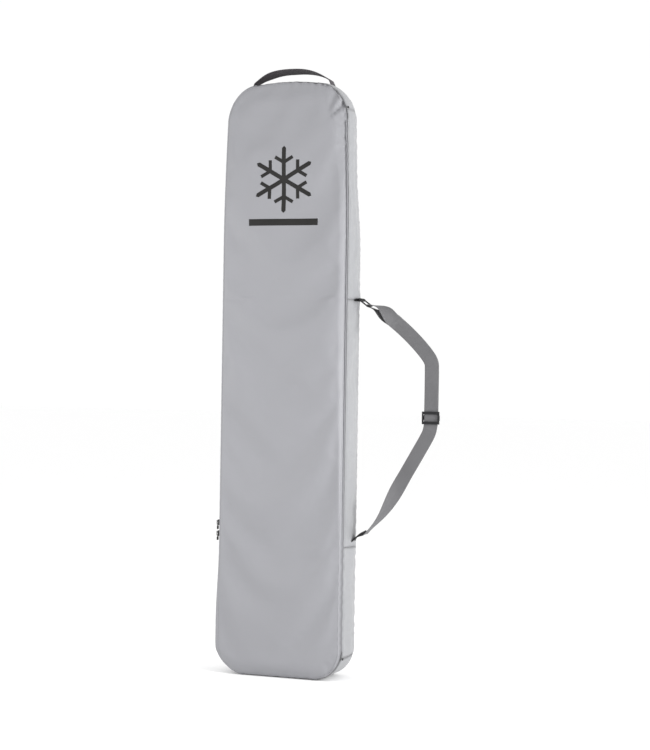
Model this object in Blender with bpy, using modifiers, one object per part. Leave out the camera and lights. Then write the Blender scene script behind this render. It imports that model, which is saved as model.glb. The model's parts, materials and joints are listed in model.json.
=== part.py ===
"""A snowboard bag, standing on its bottom end: metres, +Z up along its length, front towards -Y.

The origin is the middle of the flat bottom. The shell is a deep tray of back, walls and ends. The front
panel is a shallow lid that turns on the straight seam of the right wall, and a zipper closes it along the
left wall and round both ends. A webbing shoulder strap hangs on the right wall.
"""

import math

import bmesh
import bpy
from mathutils import Matrix, Vector

# Bag outline, seen from the front
LENGTH = 1.620
HALF_WIDTH = 0.1815
FLAT_HALF_WIDTH = 0.100
BOTTOM_CORNER_HEIGHT = 0.085
TAPER_START = 1.200
TAPER = 0.0065
TOP_CORNER_START = 1.508
TOP_CORNER_END = 1.613
TOP_CORNER_INNER = 0.088

# Depth, front to back
FRONT = -0.065
BACK = 0.065
PARTING = -0.048
FRONT_TAPER = 0.004
FRONT_TAPER_LIMIT = 1.25
BACK_STEP = 0.029
BACK_STEP_START = 1.150
BACK_STEP_LENGTH = 0.230
EDGE_RADIUS = 0.008

# Fabric and sewing
WALL = 0.003
GAP = 0.0003
TAPE = 0.0010
TAPE_WIDTH = 0.014
SLIT = 0.003
COIL_WIDTH = 0.0022
COIL_HEIGHT = 0.0018
LOWER_SEAM = 0.360
UPPER_SEAM = 1.028
BOTTOM_END_SEAM = 0.060
TOP_END_SEAM = 1.545
ROWS_SPACING = 0.050

# Zipper hardware
SLIDER_UPPER_HEIGHT = 0.413
SLIDER_LOWER_HEIGHT = 0.383
SLIDER_SIZE = (0.0030, 0.0110, 0.0160)
BRIDGE_REACH = 0.0050
LINK_WIRE = 0.0008
LINK_SIZE = (0.0080, 0.0095)
STOP_SIZE = (0.0024, 0.0070, 0.0060)
STOP_GAP = 0.0008
STOP_REACH = 0.010
GRIP_SIZE = (0.0034, 0.0080, 0.0100)

# Webbing and strap
WEB_WIDTH = 0.038
PATCH_REACH = 0.030
PATCH_EDGE = 0.004
TAB_THICK = 0.0028
HANDLE_THICK = 0.0024
WEB_THICK = 0.0018
STRAP_DEPTH = 0.010
STRAP_OUT = 0.403
STRAP_UPPER_ROUTE = (
    (0.252, 1.0035),
    (0.290, 0.9765),
    (0.338, 0.9360),
    (0.377, 0.8960),
    (0.400, 0.8640),
    (STRAP_OUT, 0.8350),
)
STRAP_LOWER_ROUTE = (
    (STRAP_OUT, 0.6950),
    (0.3960, 0.6680),
    (0.3660, 0.6140),
    (0.3190, 0.5330),
    (0.2690, 0.4500),
)
UPPER_TWIST = (0.010, 0.085)
LOWER_TWIST = (0.140, 0.150)
LOOP_LENGTH = 0.105
TRIGLIDE_HEIGHT = 0.713
TRIGLIDE_SIZE = (0.048, 0.034)
TRIGLIDE_BARS = 0.0075
TRIGLIDE_SIDES = 0.0040
TRIGLIDE_CHEEK = 0.014
TRIGLIDE_MIDDLE_BAR = (0.0022, 0.0060)
RING_WIRE = 0.0020
RING_INNER_BAR = (0.2026, 1.0285)
RING_OUTER_BAR = (0.2242, 1.0123)
STRAND_OFFSET = 0.0024
LOOP_OFFSET = 0.0115
WRAP_OFFSET = RING_WIRE + GAP + WEB_THICK / 2
STRAP_LOWER_END = (0.2214, 0.3957)

# Haul handle and side loop
HANDLE_FOOT = 0.115
HANDLE_TOP = 1.657
HANDLE_PIVOT = 1.6245
HANDLE_DEPTH = -0.004
HANDLE_CURVE = 2.6
SIDE_LOOP_WIDTH = 0.025
SIDE_LOOP_BOTTOM = 1.330
SIDE_LOOP_TOP = 1.402
SIDE_LOOP_REACH = 0.011

# Print
EMBLEM_HEIGHT = 1.352
EMBLEM_RADIUS = 0.085
EMBLEM_ARM = 0.0058
BAR_HEIGHT = 1.236
BAR_SIZE = (0.196, 0.018)
FILM = 0.0004


def smooth_step(t):
    t = min(max(t, 0.0), 1.0)
    return t * t * (3.0 - 2.0 * t)


def front_depth(z):
    """How far forward the front face is at this height."""
    t = max(z - TAPER_START, 0.0) / (TOP_CORNER_START - TAPER_START)
    return FRONT + FRONT_TAPER * min(t, FRONT_TAPER_LIMIT) ** 2


def back_depth(z):
    """Where the outside of the back is: the filled lower bag is deeper than its top."""
    return BACK - BACK_STEP * smooth_step((z - BACK_STEP_START) / BACK_STEP_LENGTH)


def half_width(z):
    """Half the width of the outline at a height on the straight and tapered sides."""
    t = max(z - TAPER_START, 0.0) / (TOP_CORNER_START - TAPER_START)
    return HALF_WIDTH - TAPER * t**1.5


def bottom_corner(steps=8):
    """From the flat bottom up to the side."""
    points = []
    for i in range(steps + 1):
        a = math.pi / 2 * i / steps
        x = FLAT_HALF_WIDTH + (HALF_WIDTH - FLAT_HALF_WIDTH) * math.sin(a)
        points.append((x, BOTTOM_CORNER_HEIGHT * (1.0 - math.cos(a))))
    return points


def top_corner(steps=8):
    """From the side up to the top edge, and along it to the middle."""
    reach = half_width(TOP_CORNER_START) - TOP_CORNER_INNER
    rise = TOP_CORNER_END - TOP_CORNER_START
    points = []
    for i in range(steps + 1):
        a = math.pi / 2 * i / steps
        points.append((TOP_CORNER_INNER + reach * math.cos(a), TOP_CORNER_START + rise * math.sin(a)))
    for x in (0.058, 0.029):
        crown = (LENGTH - TOP_CORNER_END) * (1.0 - (x / TOP_CORNER_INNER) ** 2)
        points.append((x, TOP_CORNER_END + crown))
    points.append((0.0, LENGTH))
    return points


def side_heights(low, high):
    """Heights from low to high, closer together where the side tapers."""
    heights = {low, high}
    count = round((TOP_CORNER_START - BACK_STEP_START) / ROWS_SPACING)
    for i in range(count + 1):
        z = BACK_STEP_START + (TOP_CORNER_START - BACK_STEP_START) * i / count
        if low < z < high:
            heights.add(z)
    return sorted(heights)


def right_edge():
    """The outline's right half, from the bottom's middle to the top's middle."""
    sides = [(half_width(z), z) for z in side_heights(BOTTOM_CORNER_HEIGHT, TOP_CORNER_START)]
    return [(0.0, 0.0)] + bottom_corner() + sides[1:-1] + top_corner()


def inset(points, distance, closed=False):
    """The path moved to its left by a distance, and so inwards on a path that runs anticlockwise."""
    moved = []
    last = len(points) - 1
    for i, (x, z) in enumerate(points):
        before = points[i - 1] if i > 0 or closed else None
        after = points[(i + 1) % len(points)] if i < last or closed else None
        sides = []
        for a, b in ((before, (x, z)), ((x, z), after)):
            if a and b:
                sides.append(Vector((-(b[1] - a[1]), b[0] - a[0])).normalized())
        normal = sum(sides, Vector((0.0, 0.0))).normalized()
        stretch = distance / max(normal.dot(sides[0]), 0.5)
        moved.append((x + normal.x * stretch, z + normal.y * stretch))
    return moved


def cut_path(points, low, high):
    """The part of a rising path between two heights, with its ends exactly there."""
    kept = []
    for (x0, z0), (x1, z1) in zip(points, points[1:]):
        for limit in (low, high):
            if z0 < limit < z1:
                kept.append((x0 + (x1 - x0) * (limit - z0) / (z1 - z0), limit))
        if low <= z1 <= high:
            kept.append((x1, z1))
    kept = sorted(set(kept), key=lambda point: point[1])
    if low <= points[0][1]:
        kept.insert(0, points[0])
    return kept


def mirrored(points):
    return [(-x, z) for x, z in reversed(points)]


def full_outline():
    """The whole outline anticlockwise, seen from the front, from the flat bottom's right end."""
    right = right_edge()
    return right[1:] + mirrored(right)[1:-1]


def material(name, colour, roughness, metallic=0.0):
    found = bpy.data.materials.get(name) or bpy.data.materials.new(name)
    found.use_nodes = True
    shader = found.node_tree.nodes["Principled BSDF"]
    shader.inputs["Base Color"].default_value = (*colour, 1.0)
    shader.inputs["Roughness"].default_value = roughness
    shader.inputs["Metallic"].default_value = metallic
    found.diffuse_color = (*colour, 1.0)
    return found


def fabric():
    return material("bag_fabric", (0.40, 0.40, 0.42), 0.55)


def side_fabric():
    return material("side_fabric", (0.42, 0.42, 0.44), 0.55)


def webbing():
    return material("grey_webbing", (0.20, 0.20, 0.21), 0.80)


def dark_webbing():
    return material("dark_webbing", (0.07, 0.065, 0.07), 0.80)


def black_plastic():
    return material("black_plastic", (0.010, 0.010, 0.012), 0.40)


def zipper_black():
    return material("zipper_black", (0.015, 0.015, 0.017), 0.60)


def print_ink():
    return material("print_ink", (0.035, 0.033, 0.031), 0.50)


def add_object(name, mesh, finish, origin=(0.0, 0.0, 0.0)):
    """An object in the parts collection, with its origin moved to a place in the world."""
    obj = bpy.data.objects.new(name, mesh)
    PARTS.objects.link(obj)
    mesh.materials.clear()
    mesh.materials.append(finish)
    mesh.transform(Matrix.Translation(-Vector(origin)))
    obj.location = origin
    return obj


def mesh_from(name, bm):
    mesh = bpy.data.meshes.new(name)
    bmesh.ops.recalc_face_normals(bm, faces=bm.faces)
    bm.to_mesh(mesh)
    bm.free()
    return mesh


def thicken(obj, thickness):
    """Gives an open surface its thickness, away from the side that its faces point to."""
    solid = obj.modifiers.new("thickness", "SOLIDIFY")
    solid.thickness = thickness
    solid.offset = -1.0
    solid.use_even_offset = True
    return obj


def shade_smooth(obj, degrees=40.0):
    obj.data.shade_smooth()
    obj.data.set_sharp_from_angle(angle=math.radians(degrees))
    return obj


def wall_strip(name, path, front_of, back_of, thickness, finish, closed=False, origin=(0.0, 0.0, 0.0)):
    """A strip of wall along an anticlockwise path, from front_of(z) to back_of(z), thickened inwards."""
    bm = bmesh.new()
    fronts = [bm.verts.new((x, front_of(z), z)) for x, z in path]
    backs = [bm.verts.new((x, back_of(z), z)) for x, z in path]
    count = len(path) if closed else len(path) - 1
    for i in range(count):
        j = (i + 1) % len(path)
        bm.faces.new((fronts[i], backs[i], backs[j], fronts[j]))
    mesh = bpy.data.meshes.new(name)
    bm.normal_update()
    bm.to_mesh(mesh)
    bm.free()
    return shade_smooth(thicken(add_object(name, mesh, finish, origin), thickness))


def panel_back_edge(z):
    """Where a wall stops in front of the back panel."""
    return back_depth(z) - WALL - GAP


def zipped_edge(z):
    return PARTING + SLIT


def hinged_edge(z):
    return PARTING + GAP / 2


def build_walls():
    """The gussets and ends, each a strip of the outline with a seam's gap between neighbours."""
    right = right_edge()
    half = GAP / 2
    walls = (
        ("right_gusset_lower", BOTTOM_END_SEAM + half, LOWER_SEAM - half),
        ("right_gusset_middle", LOWER_SEAM + half, UPPER_SEAM - half),
        ("right_gusset_upper", UPPER_SEAM + half, TOP_END_SEAM - half),
    )
    for name, low, high in walls:
        path = cut_path(right, low, high)
        wall_strip(name, path, hinged_edge, panel_back_edge, WALL, side_fabric())
    walls = (
        ("left_gusset_lower", BOTTOM_END_SEAM + half, LOWER_SEAM - half),
        ("left_gusset_upper", LOWER_SEAM + half, TOP_END_SEAM - half),
    )
    for name, low, high in walls:
        path = mirrored(cut_path(right, low, high))
        wall_strip(name, path, zipped_edge, panel_back_edge, WALL, side_fabric())
    bottom = cut_path(right, 0.0, BOTTOM_END_SEAM - half)
    bottom = mirrored(bottom)[:-1] + bottom
    wall_strip("bottom_end_panel", bottom, zipped_edge, panel_back_edge, WALL, side_fabric())
    top = cut_path(right, TOP_END_SEAM + half, LENGTH)
    top = top + mirrored(top)[1:]
    wall_strip("top_end_panel", top, zipped_edge, panel_back_edge, WALL, side_fabric())


def ladder(bm, rings):
    """Fills between the right and left halves of a closed ring whose points mirror each other."""
    count = len(rings)
    for i in range(count // 2):
        a, b = rings[i], rings[i + 1]
        c, d = rings[count - 2 - i], rings[count - 1 - i]
        corners = []
        for vert in (a, b, c, d):
            if vert not in corners:
                corners.append(vert)
        bm.faces.new(corners)


def build_back_panel():
    bm = bmesh.new()
    ring = [bm.verts.new((x, back_depth(z), z)) for x, z in full_outline()]
    ladder(bm, ring)
    for face in bm.faces:
        face.normal_update()
        if face.normal.y < 0:
            face.normal_flip()
    mesh = bpy.data.meshes.new("back_panel")
    bm.to_mesh(mesh)
    bm.free()
    thicken(add_object("back_panel", mesh, fabric()), WALL)


def lid_rim(x, z):
    """The lid's rim: at the seam on the straight hinge side, and short of the zipper everywhere else."""
    if x > 0 and BOTTOM_CORNER_HEIGHT - GAP < z < TOP_CORNER_START + GAP:
        return PARTING - GAP / 2
    return PARTING - SLIT


def build_front_panel():
    """A shallow tray with a rolled edge: rings of the outline, each further in and further forward."""
    outline = full_outline()
    steps = 4
    bm = bmesh.new()
    rings = [[bm.verts.new((x, lid_rim(x, z), z)) for x, z in outline]]
    for i in range(steps + 1):
        a = math.pi / 2 * i / steps
        ring = []
        for x, z in inset(outline, EDGE_RADIUS * (1.0 - math.cos(a)), closed=True):
            forward = front_depth(z) + EDGE_RADIUS * (1.0 - math.sin(a))
            ring.append(bm.verts.new((x, min(forward, PARTING - SLIT - 0.0004 * (i + 1)), z)))
        rings.append(ring)
    for outer, inner in zip(rings, rings[1:]):
        for i in range(len(outline)):
            j = (i + 1) % len(outline)
            bm.faces.new((outer[i], outer[j], inner[j], inner[i]))
    ladder(bm, rings[-1])
    bmesh.ops.recalc_face_normals(bm, faces=bm.faces)
    bm.faces.ensure_lookup_table()
    front_face = min(bm.faces, key=lambda face: face.calc_center_median().y)
    if front_face.normal.y > 0:
        bmesh.ops.reverse_faces(bm, faces=bm.faces)
    mesh = bpy.data.meshes.new("front_panel")
    bm.to_mesh(mesh)
    bm.free()
    shade_smooth(thicken(add_object("front_panel", mesh, fabric(), HINGE), WALL))


def zipper_path(offset):
    """Round the left wall and both ends, from the hinge's top end to its bottom end."""
    right = right_edge()
    top = cut_path(right, TOP_END_SEAM + 0.004, LENGTH)
    bottom = cut_path(right, 0.0, BOTTOM_END_SEAM - 0.004)
    left = mirrored(right)
    return inset(top + left[1:-1] + [(0.0, 0.0)] + bottom[1:], offset)


def build_zipper():
    """Two tapes inside the walls, and on each a coil that shows in the slit between lid and wall."""
    tape_path = zipper_path(WALL + GAP)
    coil_path = zipper_path(WALL + GAP - COIL_HEIGHT - GAP)
    near = GAP / 2
    strips = (
        ("base_zipper_tape", tape_path, near, TAPE_WIDTH, TAPE, (0.0, 0.0, 0.0)),
        ("lid_zipper_tape", tape_path, -TAPE_WIDTH, -near, TAPE, HINGE),
        ("base_zipper_coil", coil_path, near, near + COIL_WIDTH, COIL_HEIGHT, (0.0, 0.0, 0.0)),
        ("lid_zipper_coil", coil_path, -near - COIL_WIDTH, -near, COIL_HEIGHT, HINGE),
    )
    for name, path, front, back, thickness, origin in strips:
        wall_strip(
            name,
            path,
            lambda z, y=front: PARTING + y if y > -TAPE_WIDTH else lid_tape_edge(z),
            lambda z, y=back: PARTING + y,
            thickness,
            zipper_black(),
            origin=origin,
        )
    for name, height in (("zipper_stop_top", TOP_END_SEAM), ("zipper_stop_bottom", BOTTOM_END_SEAM)):
        build_stop(name, height)


def lid_tape_edge(z):
    """The lid tape's front edge, kept off the inside of the front face."""
    return max(PARTING - TAPE_WIDTH, front_depth(z) + EDGE_RADIUS)


def build_stop(name, height):
    """A small moulded block at an end of the zipper, outside the wall on its back half."""
    bm = bmesh.new()
    bmesh.ops.create_cube(bm, size=1.0)
    bmesh.ops.scale(bm, vec=STOP_SIZE, verts=bm.verts)
    edge = cut_path(right_edge(), height - STOP_REACH, height + STOP_REACH)
    low, high = edge[0], edge[-1]
    lean = math.atan2(low[0] - high[0], high[1] - low[1])
    reach = max(x for x, z in edge) + STOP_SIZE[0] / 2 + STOP_GAP
    bmesh.ops.rotate(bm, cent=(0, 0, 0), matrix=Matrix.Rotation(-lean, 3, "Y"), verts=bm.verts)
    bmesh.ops.translate(bm, vec=(reach, PARTING + 0.0050, height), verts=bm.verts)
    obj = add_object(name, mesh_from(name, bm), black_plastic())
    bevel(obj, 0.0006, 2)


def bevel(obj, width, segments):
    found = obj.modifiers.new("rounded", "BEVEL")
    found.width = width
    found.segments = segments
    found.limit_method = "ANGLE"
    return obj


def build_bindings():
    """Binding tapes over the raw seams, inside the shell."""
    inner = inset(full_outline(), WALL + GAP, closed=True)
    wall_strip(
        "back_seam_binding",
        inner,
        lambda z: panel_back_edge(z) - TAPE_WIDTH,
        lambda z: panel_back_edge(z) - GAP,
        TAPE,
        zipper_black(),
        closed=True,
    )
    hinge_side = cut_path(right_edge(), BOTTOM_END_SEAM + 0.008, TOP_END_SEAM - 0.008)
    wall_strip(
        "hinge_seam_binding",
        inset(hinge_side, WALL + GAP),
        lambda z: PARTING + 0.001,
        lambda z: PARTING + 0.001 + TAPE_WIDTH,
        TAPE,
        zipper_black(),
    )


def build_patches():
    """Reinforcement patches behind the strap tabs and the haul handle's ends."""
    for name, height in (("strap_patch_upper", UPPER_SEAM), ("strap_patch_lower", LOWER_SEAM)):
        path = cut_path(right_edge(), height - PATCH_REACH, height + PATCH_REACH)
        patch(name, path)
    crown = right_edge()
    low = HANDLE_FOOT - 0.022
    high = HANDLE_FOOT + 0.018
    path = [(x, z) for x, z in crown if low < x < high and z > TOP_CORNER_START]
    patch("handle_patch_right", path)
    patch("handle_patch_left", mirrored(path))


def patch(name, path):
    half = WEB_WIDTH / 2 + PATCH_EDGE
    middle = STRAP_DEPTH if name.startswith("strap") else HANDLE_DEPTH
    wall_strip(
        name,
        inset(path, WALL + GAP),
        lambda z: middle - half,
        lambda z: min(middle + half, panel_back_edge(z) - TAPE_WIDTH - GAP),
        TAPE,
        zipper_black(),
    )


def ribbon(name, centres, across, width, thickness, finish, origin=(0.0, 0.0, 0.0)):
    """Flat webbing along a path. across gives the direction of its width at each point."""
    bm = bmesh.new()
    rows = []
    last = len(centres) - 1
    for i, centre in enumerate(centres):
        along = (centres[min(i + 1, last)] - centres[max(i - 1, 0)]).normalized()
        side = (across[i] - along * across[i].dot(along)).normalized()
        face = along.cross(side)
        corners = []
        for u, v in ((-1, -1), (1, -1), (1, 1), (-1, 1)):
            corners.append(centre + side * (u * width / 2) + face * (v * thickness / 2))
        rows.append([bm.verts.new(corner) for corner in corners])
    for a, b in zip(rows, rows[1:]):
        for k in range(4):
            m = (k + 1) % 4
            bm.faces.new((a[k], a[m], b[m], b[k]))
    bm.faces.new(rows[0])
    bm.faces.new(rows[-1])
    return shade_smooth(add_object(name, mesh_from(name, bm), finish, origin))


def curve_through(points, spacing):
    """A smooth curve through a few points (Catmull-Rom), as a list about spacing apart."""
    padded = [points[0] * 2 - points[1]] + points + [points[-1] * 2 - points[-2]]
    found = [points[0]]
    for a, b, c, d in zip(padded, padded[1:], padded[2:], padded[3:]):
        steps = max(2, round((c - b).length / spacing))
        for i in range(1, steps + 1):
            t = i / steps
            point = (
                b * 2
                + (c - a) * t
                + (a * 2 - b * 5 + c * 4 - d) * t**2
                + (b * 3 - a - c * 3 + d) * t**3
            )
            found.append(point * 0.5)
    return found


def strap_route():
    """The strap's middle line in the plane of its depth, from the ring's outer bar to its lower end."""
    place = [Vector((x, STRAP_DEPTH, z)) for x, z in (RING_OUTER_BAR,) + STRAP_UPPER_ROUTE]
    place_low = [Vector((x, STRAP_DEPTH, z)) for x, z in STRAP_LOWER_ROUTE + (STRAP_LOWER_END,)]
    return curve_through(place, 0.012), curve_through(place_low, 0.018)


def strand(route, turns, offsets, side):
    """One strand beside the route: turned about it by an angle, and set off along its own face."""
    centres, across = [], []
    last = len(route) - 1
    for i, point in enumerate(route):
        along = (route[min(i + 1, last)] - route[max(i - 1, 0)]).normalized()
        in_plane = Vector((-along.z, 0.0, along.x))
        depth = Vector((0.0, 1.0, 0.0))
        turn = turns[i]
        across.append(in_plane * math.cos(turn) + depth * math.sin(turn))
        outward = in_plane * math.sin(turn) - depth * math.cos(turn)
        centres.append(point + outward * (offsets[i] * side))
    return centres, across


def build_strap():
    """One webbing: up from the lower tab in front, round the ring's bar, and back down behind."""
    upper, lower = strap_route()
    reach = [0.0]
    for a, b in zip(upper, upper[1:]):
        reach.append(reach[-1] + (b - a).length)
    turns, offsets = [], []
    for s in reach:
        turns.append(math.pi / 2 * (1.0 - smooth_step((s - UPPER_TWIST[0]) / UPPER_TWIST[1])))
        opening = math.sin(math.pi * min(s / LOOP_LENGTH, 1.0)) ** 2
        base = WRAP_OFFSET + (STRAND_OFFSET - WRAP_OFFSET) * smooth_step(s / LOOP_LENGTH)
        offsets.append(base + (LOOP_OFFSET - WRAP_OFFSET) * opening)
    front, front_across = strand(upper, turns, offsets, 1.0)
    behind, behind_across = strand(upper, turns, offsets, -1.0)
    low_reach = [0.0]
    for a, b in zip(lower, lower[1:]):
        low_reach.append(low_reach[-1] + (b - a).length)
    total = low_reach[-1]
    start, shorter = LOWER_TWIST
    low_turns = [math.pi / 2 * smooth_step((s - start) / (total - shorter)) for s in low_reach]
    low, low_across = strand(lower, low_turns, [STRAND_OFFSET] * len(lower), 1.0)
    wrap, wrap_across = [], []
    along = (upper[1] - upper[0]).normalized()
    outward = Vector((-along.z, 0.0, along.x))
    for i in range(1, 8):
        a = math.pi * i / 8
        wrap.append(upper[0] + (outward * math.cos(a) - along * math.sin(a)) * WRAP_OFFSET)
        wrap_across.append(Vector((0.0, 1.0, 0.0)))
    tail = [behind[-1] + Vector((0.0, 0.0, -0.030 * k)) for k in (1, 2, 3, 4)]
    tail.append(Vector((tail[-1].x, tail[-1].y, TRIGLIDE_HEIGHT - 0.010)))
    centres = low[::-1] + front[::-1] + wrap + behind + tail
    across = low_across[::-1] + front_across[::-1] + wrap_across
    across += behind_across + [behind_across[-1]] * len(tail)
    ribbon("strap_webbing", centres, across, WEB_WIDTH, WEB_THICK, webbing(), STRAP_HINGE)


def build_tabs():
    """The black tabs: the upper one folded round the ring's inner bar, the lower one a single wedge."""
    bar = Vector((RING_INNER_BAR[0], STRAP_DEPTH, RING_INNER_BAR[1]))
    root = Vector((HALF_WIDTH + 2 * GAP, STRAP_DEPTH, UPPER_SEAM))
    along = (bar - root).normalized()
    outward = Vector((-along.z, 0.0, along.x))
    centres = [root + outward * 0.0014, root.lerp(bar, 0.5) + outward * 0.0028]
    for i in range(9):
        a = math.pi * i / 8
        centres.append(bar + (outward * math.cos(a) + along * math.sin(a)) * WRAP_OFFSET)
    centres += [root.lerp(bar, 0.5) - outward * 0.0028, root - outward * 0.0014]
    depth = Vector((0.0, 1.0, 0.0))
    across = [depth] * len(centres)
    ribbon("strap_tab_upper", centres, across, WEB_WIDTH, WEB_THICK, dark_webbing(), STRAP_HINGE)
    end = Vector((STRAP_LOWER_END[0], STRAP_DEPTH, STRAP_LOWER_END[1]))
    root = Vector((HALF_WIDTH + 2 * GAP + 0.0016, STRAP_DEPTH, LOWER_SEAM))
    bend = Vector((HALF_WIDTH + 0.016, STRAP_DEPTH, LOWER_SEAM + 0.026))
    _, lower = strap_route()
    along = (lower[-1] - lower[-2]).normalized()
    outward = Vector((-along.z, 0.0, along.x))
    last = end + outward * STRAND_OFFSET + along * 0.0016
    centres = curve_through([root, bend, last], 0.012)
    across = [depth] * len(centres)
    ribbon("strap_tab_lower", centres, across, WEB_WIDTH, TAB_THICK, dark_webbing(), STRAP_HINGE)


def wire_loop(name, corners, radius, wire, finish, origin):
    """A closed loop of round wire through corners that are rounded to a radius."""
    points = []
    count = len(corners)
    for i, corner in enumerate(corners):
        before = (corners[i - 1] - corner).normalized()
        after = (corners[(i + 1) % count] - corner).normalized()
        for k in range(4):
            t = k / 3
            start, end = corner + before * radius, corner + after * radius
            points.append(start * (1 - t) ** 2 + corner * (2 * t * (1 - t)) + end * t**2)
    curve = bpy.data.curves.new(name, "CURVE")
    curve.dimensions = "3D"
    spline = curve.splines.new("POLY")
    spline.points.add(len(points) - 1)
    for found, point in zip(spline.points, points):
        found.co = (*(point - Vector(origin)), 1.0)
    spline.use_cyclic_u = True
    curve.bevel_depth = wire
    curve.bevel_resolution = 2
    obj = bpy.data.objects.new(name, curve)
    PARTS.objects.link(obj)
    curve.materials.append(finish)
    obj.location = origin
    return obj


def build_ring():
    """The ring between the upper tab and the strap: its bars lie along the depth."""
    inner = Vector((RING_INNER_BAR[0], STRAP_DEPTH, RING_INNER_BAR[1]))
    outer = Vector((RING_OUTER_BAR[0], STRAP_DEPTH, RING_OUTER_BAR[1]))
    half = Vector((0.0, WEB_WIDTH / 2 + RING_WIRE + 0.0020, 0.0))
    corners = [inner - half, outer - half, outer + half, inner + half]
    wire_loop("strap_ring", corners, 0.0020, RING_WIRE, black_plastic(), STRAP_HINGE)


def block(name, size, centre):
    """A cube of a size at a place, as a mesh object outside any collection yet."""
    bm = bmesh.new()
    bmesh.ops.create_cube(bm, size=1.0)
    bmesh.ops.scale(bm, vec=size, verts=bm.verts)
    bmesh.ops.translate(bm, vec=centre, verts=bm.verts)
    return bpy.data.objects.new(name, mesh_from(name, bm))


def add_cutter(obj):
    CUTTERS.objects.link(obj)
    obj.hide_render = True
    obj.display_type = "WIRE"
    return obj


def combine(obj, other, operation):
    found = obj.modifiers.new(operation.lower(), "BOOLEAN")
    found.operation = operation
    found.object = add_cutter(other)
    found.solver = "EXACT"
    return obj


def build_triglide():
    """The adjuster: a front frame over the strap, and a middle bar between its two strands."""
    outer, bars, sides = TRIGLIDE_SIZE, TRIGLIDE_BARS, TRIGLIDE_SIDES
    front = STRAP_DEPTH - 0.0070
    frame_back = STRAP_DEPTH - STRAND_OFFSET - WEB_THICK / 2 - GAP
    middle_back = STRAP_DEPTH + 0.0011
    centre = Vector((STRAP_OUT, 0.0, TRIGLIDE_HEIGHT))
    depth = frame_back - front
    plate = block("triglide", (outer[0], depth, outer[1]), centre + Vector((0, front + depth / 2, 0)))
    origin = (STRAP_OUT, STRAP_DEPTH, TRIGLIDE_HEIGHT)
    obj = add_object("triglide", plate.data, black_plastic(), origin)
    bpy.data.objects.remove(plate)
    obj.name = "triglide"
    window = (outer[0] - 2 * sides, 3 * depth, outer[1] - 2 * bars)
    combine(obj, block("triglide_window", window, centre + Vector((0, front + depth / 2, 0))), "DIFFERENCE")
    cheek_depth = middle_back - front - 0.0004
    for side in (-1, 1):
        place = centre + Vector((side * (outer[0] - sides) / 2, front + 0.0004 + cheek_depth / 2, 0))
        combine(obj, block("triglide_cheek", (sides - 0.0004, cheek_depth, TRIGLIDE_CHEEK), place), "UNION")
    bar = (outer[0] - sides, *TRIGLIDE_MIDDLE_BAR)
    combine(obj, block("triglide_bar", bar, centre + Vector((0, STRAP_DEPTH, 0))), "UNION")


def build_slider(which, height):
    """A slider with its bridge, a wire link that hangs from it, and a moulded grip."""
    outside = -HALF_WIDTH - 2 * GAP
    origin = (outside, PARTING, height)
    plate_centre = Vector((outside - SLIDER_SIZE[0] / 2, PARTING, height))
    plate = block("slider_" + which, SLIDER_SIZE, plate_centre)
    obj = add_object("slider_" + which, plate.data, black_plastic(), origin)
    bpy.data.objects.remove(plate)
    obj.name = "slider_" + which
    bevel(obj, 0.0010, 2)
    top = outside - SLIDER_SIZE[0]
    for end in (-1, 1):
        leg = (BRIDGE_REACH + 0.0010, 0.0022, 0.0018)
        place = Vector((top - (BRIDGE_REACH - 0.0010) / 2, PARTING, height + end * 0.0050))
        combine(obj, block("bridge_leg", leg, place), "UNION")
    span = (0.0016, 0.0022, 0.0118)
    place = Vector((top - BRIDGE_REACH + 0.0006, PARTING, height))
    combine(obj, block("bridge_span", span, place), "UNION")
    pivot = pull_pivot(height)
    width, length = LINK_SIZE
    across, down = Vector((0.0, width / 2, 0.0)), Vector((0.0, 0.0, -length))
    corners = [pivot - across, pivot + across, pivot + across + down, pivot - across + down]
    wire_loop("pull_link_" + which, corners, 0.0020, LINK_WIRE, black_plastic(), pivot)
    place = pivot + down + Vector((0.0, 0.0, -LINK_WIRE - GAP - GRIP_SIZE[2] / 2))
    grip = block("grip", GRIP_SIZE, place)
    obj = add_object("pull_grip_" + which, grip.data, black_plastic(), pivot)
    bpy.data.objects.remove(grip)
    bevel(obj, 0.0012, 2)


def pull_pivot(height):
    """The middle of the space under a slider's bridge."""
    reach = HALF_WIDTH + 2 * GAP + SLIDER_SIZE[0] + 0.0022
    return Vector((-reach, PARTING, height + 0.0015))


def handle_foot(side):
    """Where an end of the haul handle meets the top edge."""
    height = TOP_CORNER_END
    for (x0, z0), (x1, z1) in zip(top_corner(), top_corner()[1:]):
        if x1 <= HANDLE_FOOT <= x0:
            height = z0 + (z1 - z0) * (x0 - HANDLE_FOOT) / (x0 - x1)
    return Vector((side * HANDLE_FOOT, HANDLE_DEPTH, height))


def build_handle():
    """The haul handle: a sewn tab at each end, and an arch that rocks on them."""
    depth = Vector((0.0, 1.0, 0.0))
    ends = []
    for side, word in ((-1, "left"), (1, "right")):
        foot = handle_foot(side)
        start = foot + Vector((side * 0.0012, 0.0, WEB_THICK + 0.0006))
        end = Vector((foot.x - side * 0.0060, HANDLE_DEPTH, HANDLE_PIVOT))
        ribbon(
            "handle_tab_" + word,
            [start, start.lerp(end, 0.5), end],
            [depth] * 3,
            WEB_WIDTH,
            HANDLE_THICK,
            dark_webbing(),
        )
        ends.append(end + (end - start).normalized() * 2 * GAP)
    left, right = ends
    span = right.x - left.x
    points = []
    for k in range(17):
        t = k / 16
        rise = (HANDLE_TOP - left.z) * (1.0 - abs(2 * t - 1) ** HANDLE_CURVE)
        points.append(Vector((left.x + span * t, HANDLE_DEPTH, left.z + rise)))
    pivot = (0.0, HANDLE_DEPTH, HANDLE_PIVOT)
    across = [depth] * len(points)
    ribbon("haul_handle", points, across, WEB_WIDTH - 0.001, HANDLE_THICK, dark_webbing(), pivot)


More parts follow.
